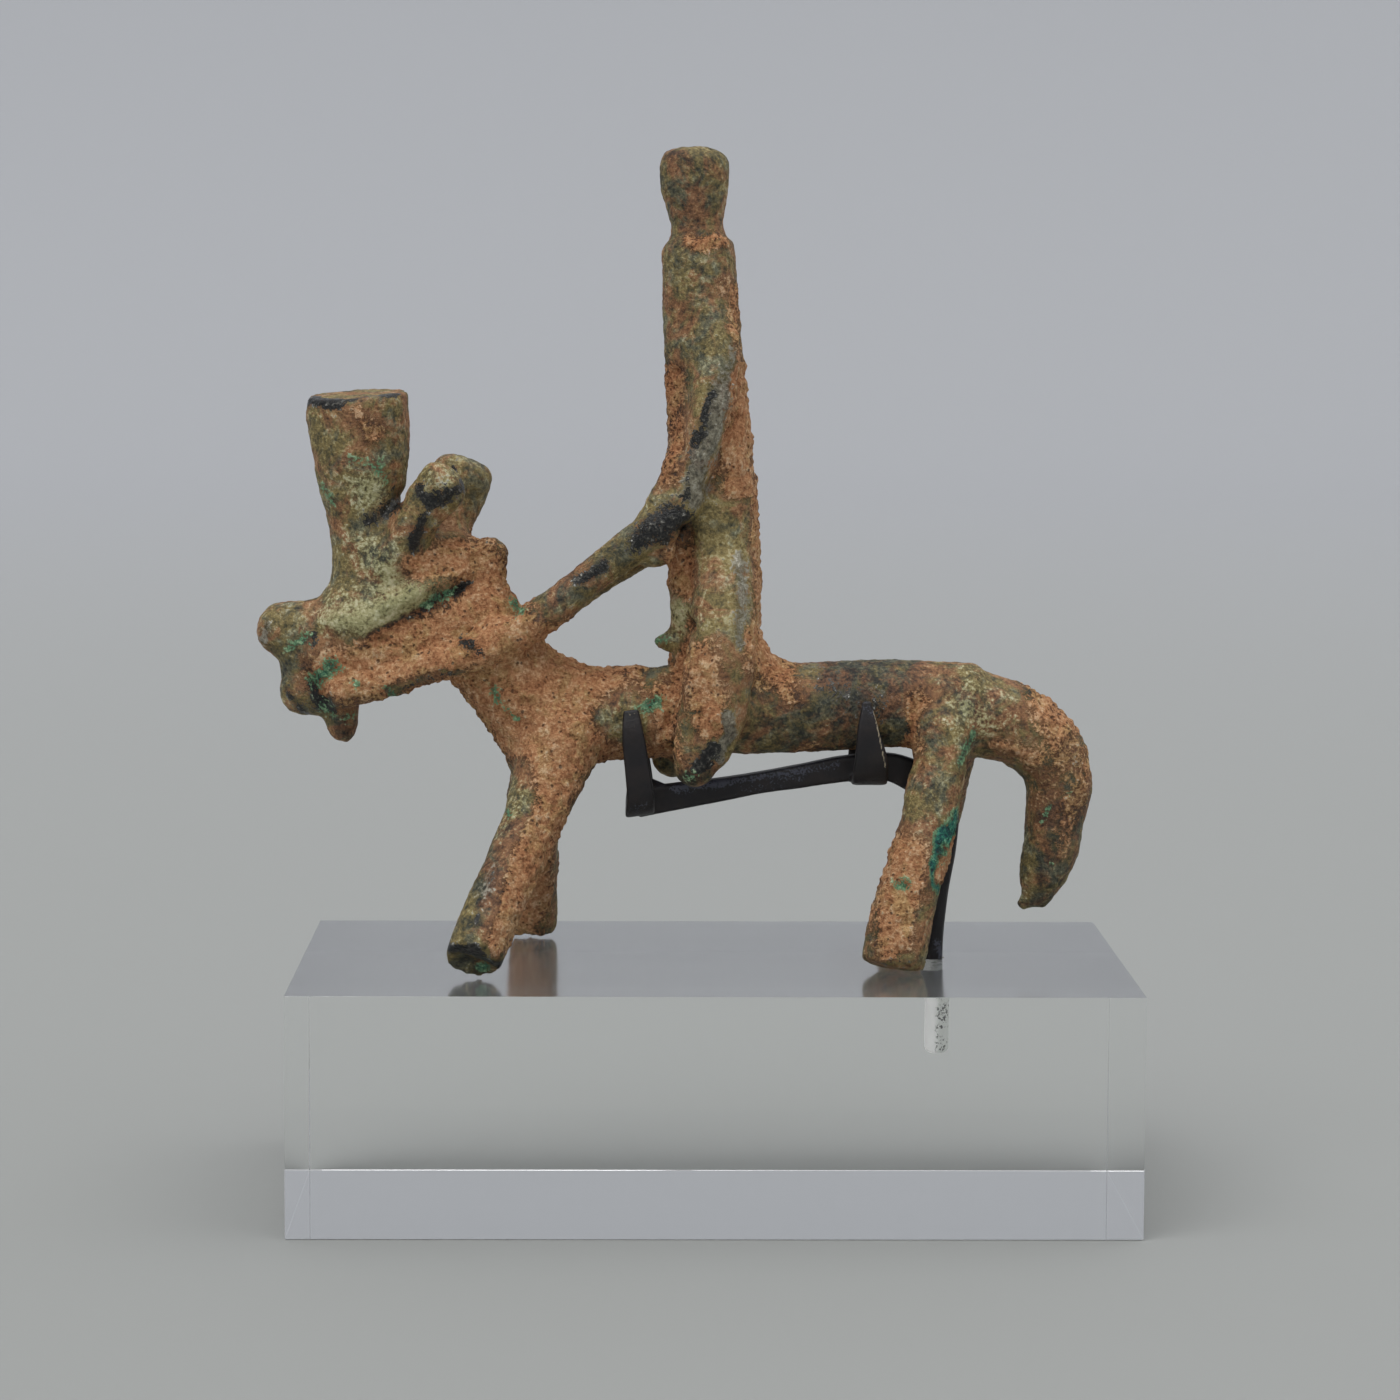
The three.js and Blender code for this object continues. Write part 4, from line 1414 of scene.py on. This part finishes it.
    def stand(self, skin: Skin, solid: Skin) -> None:
        """Gives each foot the size and the end that the CAD's has, because softening shrinks it.

        Near its end a near foot's skin is pushed outwards by `foot_flare`. Each foot is drawn down
        past the CAD's end and cut off there, but for the broken left forefoot, which stays rounded.

        Args:
            skin: the casting's surface, changed in place.
            solid: the CAD's surface.
        """
        for end, side in ((-1, Side.NEAR), (-1, Side.FAR), (1, Side.NEAR), (1, Side.FAR)):
            own = self.foot(skin.points, end, side)
            sole = solid.points[self.foot(solid.points, end, side), 2].min()
            sole -= self.forefoot_drop if end < 0 else 0
            broken = end < 0 and side is Side.NEAR
            if side is Side.NEAR:
                normals = skin.normals()[own]
                down = ease(skin.points[own, 2], *self.flared)
                skin.points[own, :2] += self.foot_flare * down[:, None] * normals[:, :2]
            drop = skin.points[own, 2].min() - sole
            drop += self.broken_drop if broken else self.foot_drop
            skin.points[own, 2] -= drop * ease(skin.points[own, 2], *self.drawn)
            if not broken:
                skin.points[own, 2] = np.maximum(skin.points[own, 2], sole)

    def carve(self, skin: Skin) -> None:
        """Presses grooves and raises ridges, less sharply on the far side.

        The headdress's rim is lifted first, by more on the near side than on the far side.

        Args:
            skin: the casting's surface, changed in place.
        """
        x, y, z = skin.points.T
        rim = ease(z, *self.rim_from) * ease(-x, *self.rim_ahead_of)
        skin.points[:, 2] += rim * (self.rim_lift - self.rim_slope * y)
        places = skin.points[:, [0, 2]]
        share = 1 - self.far_softness * ease(skin.points[:, 1], *self.far_relief)
        depth = sum(mark.on(places) for mark in RELIEF) * share
        skin.points = skin.points + skin.normals() * depth[:, None]

    def marks(self, skin: Skin, neighbours: Neighbours) -> dict[str, Array]:
        """Where the skin is crusted, worn, green, pale, dark or light, and where it lies in a hollow.

        A point's hollow is how far the surface lies below its own smoothed shape. The far side reads
        the same marks a little out of place, so that it is like the near side but no mirror image.

        Args:
            skin: the casting's surface.
            neighbours: its edges.

        Returns:
            Numbers for each point, by the name that the material reads.
        """
        shape = settled(skin.points, neighbours, self.shape_rounds)
        depth = np.einsum("ij,ij->i", shape - skin.points, skin.normals())
        hollow = ease(depth, 0.0, self.hollow_depth)
        proud = ease(-depth, 0.0, self.proud_height)
        bends = [rubble(skin.points, self.warp_size, octaves=4, seed=seed) for seed in (11, 23)]
        warp = np.stack(bends, axis=1)
        near = skin.points[:, [0, 2]] + self.near_warp * warp
        far = near + self.far_warp * warp + np.array(self.far_shift)
        share = ease(skin.points[:, 1], *self.far_marks)
        cloud = rubble(skin.points, self.cloud_size, octaves=4, seed=37)

        def both(marks: Sequence[Mark]) -> Array:
            """The marks of one kind on both sides."""
            return marked(near, marks) * (1 - share) + marked(far, marks) * share

        worn = both(WORN)
        black = both(BLACK) + both(LIPS) * proud
        crust = both(CRUST) * 0.9 + 0.32 * hollow + 0.18 * cloud + 0.1 - both(BARE)
        return {
            "crust": crust - 0.6 * worn - 0.4 * black,
            "worn": worn + 0.12 * proud,
            "black": black,
            "verdigris": both(VERDIGRIS),
            "pale": both(PALE) + 0.15 * proud,
            "dark": both(DARK) + 0.12 * cloud,
            "light": both(LIGHT),
            "hollow": hollow,
        }

    def roughen(self, skin: Skin, marks: dict[str, Array]) -> None:
        """Moves each point along its normal: lumps everywhere, and grains and pits in the crust.

        Args:
            skin: the casting's surface, changed in place.
            marks: its marks.
        """
        crust = ease(marks["crust"], *self.crusted)
        worn = ease(np.maximum(marks["worn"], marks["black"]), *self.smoothed)
        broad, small = self.lump_sizes
        lumps = rubble(skin.points, broad, octaves=3, seed=51)
        lumps = lumps + 0.5 * rubble(skin.points, small, octaves=2, seed=61)
        coarse, fine = (
            grains(skin.points, size, seed) - self.grain_level
            for size, seed in zip(self.grain_sizes, (71, 81))
        )
        grit = self.grain_height * (0.55 * coarse + fine)
        grit = grit * (0.3 + 0.85 * crust) * (1 - 0.8 * worn)
        height = self.lump_height * lumps * (1 - 0.4 * worn) + grit + self.crust_height * crust
        skin.points = skin.points + skin.normals() * height[:, None]


@dataclass(frozen=True)
class Strip:
    """A strip that crosses under the belly and is bent up into two prongs.

    It crosses the bar at `x`, with its middle line at the height `foot`. `wide` and `narrow` are half
    its width at the foot and at its tips, which stand at the height `tip` and lean by `lean`.
    """

    x: float
    foot: float
    tip: float
    wide: float
    narrow: float
    lean: float
    thickness: float = 0.5
    reach: float = 5.7

    def half(self, side: Side) -> list[Station]:
        """The stations of one prong.

        Args:
            side: which prong of the two.

        Returns:
            Its stations from the tip down.
        """
        y = side.value
        between = 0.5 * (self.wide + self.narrow)
        return [
            (self.x + self.lean, y * (self.reach + 0.1), self.tip, 0.8 * self.thickness, self.narrow),
            (self.x + 0.7 * self.lean, y * (self.reach + 0.7), self.tip - 3, self.thickness, between),
            (self.x, y * (self.reach + 0.5), self.foot + 2.6, self.thickness, 0.92 * self.wide),
            (self.x, y * (self.reach - 1.3), self.foot + 0.3, self.thickness, self.wide),
        ]

    def skin(self) -> Skin:
        """The strip as a rod whose width lies along the horse.

        Returns:
            A skin of triangles.
        """
        middle = (self.x, 0.0, self.foot - 0.1, self.thickness, self.wide)
        stations = self.half(Side.NEAR) + [middle] + self.half(Side.FAR)[::-1]
        rod = Rod(tuple(stations), side=(1, 0, 0), square=7.0, bulge=0.3, steps=90, sides=40)
        return rod.skin()


@dataclass
class Cradle:
    """The black cradle: a bar with a bent stem and two strips, each bent up into a pair of prongs."""

    voxel: float = 0.145
    shape_rounds: int = 14
    edge_height: Cut = (0.04, 0.16)
    upper_slope: Cut = (0.3, 0.9)
    file_marks: float = 0.03
    foot_slope: float = 0.14
    foot_pivot: float = -9.1
    foot_heights: Cut = (42.0, 44.5)
    front: Strip = Strip(x=-7.85, foot=41.6, tip=52.9, wide=1.55, narrow=0.84, lean=-1.0)
    rear: Strip = Strip(x=16.85, foot=45.2, tip=53.9, wide=1.9, narrow=0.45, lean=-0.5)
    bar: Rod = Rod(
        (
            (-8.0, 0.0, 42.4, 1.6, 1.2),
            (-5.6, 0.0, 42.8, 1.5, 1.2),
            (0.8, 0.0, 43.8, 1.25, 1.2),
            (5.2, 0.0, 44.6, 1.15, 1.2),
            (9.5, 0.0, 45.3, 1.25, 1.2),
            (14.5, 0.0, 46.15, 1.4, 1.2),
            (19.0, 0.0, 46.35, 1.5, 1.2),
            (22.2, 0.0, 45.2, 1.75, 1.2),
        ),
        square=7.0,
        bulge=0.4,
        steps=40,
    )
    stem: Rod = Rod(
        (
            (20.5, 0.0, 45.4, 1.2, 1.2),
            (23.7, 0.0, 44.4, 1.2, 1.2),
            (25.5, 0.0, 41.8, 1.2, 1.2),
            (25.4, 0.0, 37.8, 1.2, 1.2),
            (24.6, 0.0, 33.0, 1.2, 1.2),
            (24.1, 0.0, 28.5, 1.2, 1.2),
            (24.0, 0.0, 25.4, 1.2, 1.2),
            (24.0, 0.0, 17.9, 1.2, 1.2),
        ),
        bulge=0.2,
        steps=60,
    )
    braze: Rod = Rod(
        ((-7.7, 0.0, 45.6, 0.6, 0.6), (-6.9, 0.0, 44.2, 0.9, 0.9), (-4.4, 0.0, 43.2, 0.9, 0.9))
    )

    def build(self) -> bpy.types.Object:
        """Makes the cradle in one piece, with its marks and its material.

        Returns:
            The cradle's object.
        """
        front = self.front.skin()
        foot = 1 - ease(front.points[:, 2], *self.foot_heights)
        front.points[:, 2] += self.foot_slope * (front.points[:, 0] - self.foot_pivot) * foot
        rods = [rod.skin() for rod in (self.bar, self.stem, self.braze)]
        skin = fused(merged(rods + [front, self.rear.skin()]), self.voxel)
        neighbours = Neighbours(skin.edges(), len(skin.points))
        skin.points = settled(skin.points, neighbours, 1)
        shape = settled(skin.points, neighbours, self.shape_rounds)
        normals = skin.normals()
        proud = -np.einsum("ij,ij->i", shape - skin.points, normals)
        places = skin.points[:, [0, 2]]
        near = ease(-skin.points[:, 1], -0.5, 0.5)
        marks = {
            "edge": ease(proud, *self.edge_height),
            # Upward faces, which get the painted sheen.
            "upper": ease(normals[:, 2], *self.upper_slope),
            "rubbed": marked(places, RUBBED),
            "scratch": marked(places, SCRATCHES) * near,
        }
        filed = self.file_marks * rubble(skin.points * np.array([1.0, 1.0, 0.35]), 1.2, 3, 91)
        skin.points = skin.points + normals * filed[:, None]
        return piece_of("painted_cradle", skin, BlackPaint().material(), marks)


@dataclass
class Block:
    """The clear block with its drilled hole, and the frosted lining of the hole."""

    length: float = 88.9
    depth: float = 50.8
    height: float = 25.4
    bevel: float = 0.04
    hole_x: float = 24.0
    hole_radius: float = 1.28
    hole_depth: float = 8.9
    mouth: float = 0.1
    lining: float = 0.04
    lining_top: float = 0.12
    round_off: float = 0.8
    floor_rings: int = 7
    spokes: int = 18

    def outline(self, inset: float) -> Array:
        """The block's outline from above, with its corners cut off.

        Args:
            inset: how far the outline is drawn in.

        Returns:
            For each of the four sides, its points' x and y.
        """
        x = self.length / 2 - inset
        y = self.depth / 2 - inset
        cut = self.bevel
        starts = np.array([[x, cut - y], [x - cut, y], [-x, y - cut], [cut - x, -y]])
        ends = np.array([[x, y - cut], [cut - x, y], [-x, cut - y], [x - cut, -y]])
        return starts[:, None] + (ends - starts)[:, None] * self.shares()[..., None]

    def shares(self) -> Array:
        """Where even spokes from the hole's axis cross each side, as shares of the side's length.

        A side from a to b is crossed by the ray d from the axis where the cross product of
        a + t(b - a) and d is nothing, so t = (d x a) / ((b - a) x d).

        Returns:
            For each of the four sides, its points' shares.
        """
        x, y = self.length / 2, self.depth / 2
        a = np.array([[x, -y], [x, y], [-x, y], [-x, -y]]) - np.array([self.hole_x, 0.0])
        b = np.roll(a, -1, axis=0)
        first = np.arctan2(a[:, 1], a[:, 0])
        sweep = np.mod(np.arctan2(b[:, 1], b[:, 0]) - first, 2 * math.pi)
        angle = first[:, None] + sweep[:, None] * np.linspace(0, 1, self.spokes)
        d = np.stack([np.cos(angle), np.sin(angle)], axis=-1)
        run = (b - a)[:, None]
        over = d[..., 0] * a[:, None, 1] - d[..., 1] * a[:, None, 0]
        under = run[..., 0] * d[..., 1] - run[..., 1] * d[..., 0]
        return np.clip(over / under, 0, 1)

    def circle(self, radius: float) -> Array:
        """A circle about the hole's axis, with a point on each spoke.

        Args:
            radius: the circle's radius.

        Returns:
            The points' x and y.
        """
        away = self.outline(0.0).reshape(-1, 2) - np.array([self.hole_x, 0.0])
        away /= np.linalg.norm(away, axis=1, keepdims=True)
        return np.array([self.hole_x, 0.0]) + radius * away

    def level(self, ring: Array, height: float) -> Array:
        """A ring of places at one height."""
        flat = ring.reshape(-1, 2)
        return np.column_stack([flat, np.full(len(flat), height)])

    def cup(self, radius: float, floor: float, top: float) -> list[Array]:
        """The rings down the inside of a cup: a straight wall and a rounded floor.

        At an angle a, the rounding q has the radius r - q + q cos(a), at the height z + q - q sin(a).

        Args:
            radius: the wall's radius, r.
            floor: the floor's height, z.
            top: the rim's height.

        Returns:
            The rings from the rim down.
        """
        turn = np.linspace(0, math.pi / 2, self.floor_rings)
        radii = radius - self.round_off + self.round_off * np.cos(turn)
        heights = floor + self.round_off - self.round_off * np.sin(turn)
        wall = [self.level(self.circle(radius), top)]
        return wall + [self.level(self.circle(r), z) for r, z in zip(radii, heights)]

    def build(self) -> bpy.types.Object:
        """Makes the block: rings up its outside, in over its top and down its hole.

        Returns:
            The block's object.
        """
        rings = [
            self.level(self.outline(self.bevel), 0.0),
            self.level(self.outline(0.0), self.bevel),
            self.level(self.outline(0.0), self.height - self.bevel),
            self.level(self.outline(self.bevel), self.height),
            self.level(self.circle(self.hole_radius + self.mouth), self.height),
        ]
        rings += self.cup(self.hole_radius, self.height - self.hole_depth, self.height - self.mouth)
        skin = closed_rings(np.vstack(rings), len(rings), len(rings[0]))
        return piece_of("clear_block", skin, ClearAcrylic().material(), {}, smooth=False)

    def liner(self) -> bpy.types.Object:
        """Makes the ground wall of the hole: a thin cup whose outside lies just inside the acrylic.

        Returns:
            The lining's object.
        """
        floor = self.height - self.hole_depth
        top = self.height - self.lining_top
        half = 0.5 * self.lining
        rings = self.cup(self.hole_radius + half, floor - half, top)[::-1]
        rings += self.cup(self.hole_radius - half, floor + half, top)
        skin = closed_rings(np.vstack(rings), len(rings), len(rings[0]))
        return piece_of("hole_lining", skin, FrostedHole().material(), {})


@dataclass(frozen=True)
class Lamp:
    """A soft light that is as strong everywhere.

    `towards` is the direction from the figure to the light, `spread` how wide it looks from there in
    degrees, and `power` is in watts to a square metre.
    """

    name: str
    towards: tuple[float, float, float]
    spread: float
    power: float

    def hang(self) -> None:
        """Puts the light in the scene."""
        light = bpy.data.lights.new(self.name, "SUN")
        light.energy = self.power
        light.angle = math.radians(self.spread)
        lamp = bpy.data.objects.new(self.name, light)
        lamp.rotation_euler = Vector(self.towards).to_track_quat("Z", "Y").to_euler()
        bpy.context.scene.collection.objects.link(lamp)


@dataclass
class Studio:
    """The pale ground, the soft lights and the camera at the photograph's angle.

    `focal` and `frame` are the lens's focal length and the picture's width, both in the photo's
    pixels. Angles are in degrees.
    """

    camera_place: tuple[float, float, float] = (-8.88, -447.91, 98.89)
    yaw: float = -0.96
    pitch: float = 5.78
    roll: float = 0.27
    focal: float = 4159.0
    frame: float = 1400.0
    sensor: float = 36.0
    floor_radius: float = 1500.0
    rim_radius: float = 900.0
    rim_height: float = 1600.0
    floor_rings: int = 12
    rim_rings: int = 24
    ground_sides: int = 96
    sink: float = 0.1
    glow: float = 0.6
    sky: Colour = (0.985, 0.993, 1.0)
    lamps: tuple[Lamp, ...] = (
        Lamp("key", (-0.35, -0.58, 1.0), 50.0, 1.04),
        Lamp("fill", (0.65, -0.1, 1.0), 70.0, 0.44),
    )

    def ground(self) -> bpy.types.Object:
        """A wide disc whose rim curves up all round: a profile turned about the Z axis.

        Returns:
            The ground's object.
        """
        turn = np.linspace(0, math.pi / 2, self.rim_rings)[1:]
        flat = np.linspace(1.0, self.floor_radius, self.floor_rings)
        outer = self.floor_radius + self.rim_radius * np.sin(turn)
        curved = self.rim_radius * (1 - np.cos(turn))
        radius = np.concatenate([flat, outer, outer[-1:]])[:, None]
        height = np.concatenate([0 * flat, curved, [self.rim_height]])[:, None]
        angle = np.arange(self.ground_sides) * 2 * math.pi / self.ground_sides
        level = height - self.sink + 0 * angle
        rings = np.stack([radius * np.cos(angle), radius * np.sin(angle), level], axis=-1)
        points = np.vstack([rings.reshape(-1, 3), [[0, 0, -self.sink]]])
        here = np.arange(len(points) - 1).reshape(-1, self.ground_sides)
        inner, beside = here[:-1], np.roll(here, -1, axis=1)
        quads = np.stack([inner, here[1:], beside[1:], beside[:-1]], axis=-1).reshape(-1, 4)
        centre = np.full(self.ground_sides, len(points) - 1)
        caps = np.stack([centre, here[0], beside[0]], axis=1)
        mesh = bpy.data.meshes.new("ground")
        mesh.from_pydata((points * MM).tolist(), [], quads.tolist() + caps.tolist())
        mesh.polygons.foreach_set("use_smooth", np.ones(len(mesh.polygons), dtype=bool))
        mesh.update()
        mesh.materials.append(PaleGround().material())
        ground = bpy.data.objects.new("ground", mesh)
        bpy.context.scene.collection.objects.link(ground)
        return ground

    def camera(self) -> None:
        """Puts the camera where the photograph was taken from, solved from the block's corners."""
        yaw, pitch, roll = (math.radians(angle) for angle in (self.yaw, self.pitch, self.roll))
        level = Vector((-math.sin(yaw), math.cos(yaw), 0))
        right = Vector((math.cos(yaw), math.sin(yaw), 0))
        plumb = Vector((0, 0, 1))
        ahead = math.cos(pitch) * level - math.sin(pitch) * plumb
        up = math.sin(pitch) * level + math.cos(pitch) * plumb
        tilted_right = math.cos(roll) * right + math.sin(roll) * up
        tilted_up = -math.sin(roll) * right + math.cos(roll) * up
        lens = bpy.data.cameras.new("camera")
        lens.sensor_fit = "HORIZONTAL"
        lens.sensor_width = self.sensor
        lens.lens = self.sensor * self.focal / self.frame
        lens.clip_start = 0.01
        lens.clip_end = 20.0
        camera = bpy.data.objects.new("camera", lens)
        turn = Matrix((tilted_right, tilted_up, -ahead)).transposed().to_4x4()
        camera.matrix_world = Matrix.Translation(Vector(self.camera_place) * MM) @ turn
        bpy.context.scene.collection.objects.link(camera)
        bpy.context.scene.camera = camera

    def build(self) -> bpy.types.Object:
        """Sets the ground, the lights, the sky's even glow and the camera.

        Returns:
            The ground's object.
        """
        world = bpy.data.worlds.new("even_glow")
        world.use_nodes = True
        glow = world.node_tree.nodes["Background"]
        glow.inputs["Color"].default_value = (*self.sky, 1.0)
        glow.inputs["Strength"].default_value = self.glow
        bpy.context.scene.world = world
        bpy.context.scene.view_settings.view_transform = "Standard"
        for lamp in self.lamps:
            lamp.hang()
        self.camera()
        return self.ground()


def main() -> None:
    """Builds the studio and the three pieces, with the hole's lining."""
    logging.basicConfig(level=logging.INFO, format="%(name)s %(message)s")
    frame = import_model()
    Studio().build()

    casting = Casting().build(frame["nodes"]["horse_and_rider"])
    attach(casting, BODY)
    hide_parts("horse_and_rider")

    cradle = Cradle().build()
    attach(cradle, BODY)
    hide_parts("cradle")

    block = Block()
    clear = block.build()
    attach(clear, BODY)
    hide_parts("acrylic_block")
    lining = block.liner()
    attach(lining, BODY)


if __name__ == "__main__":
    main()
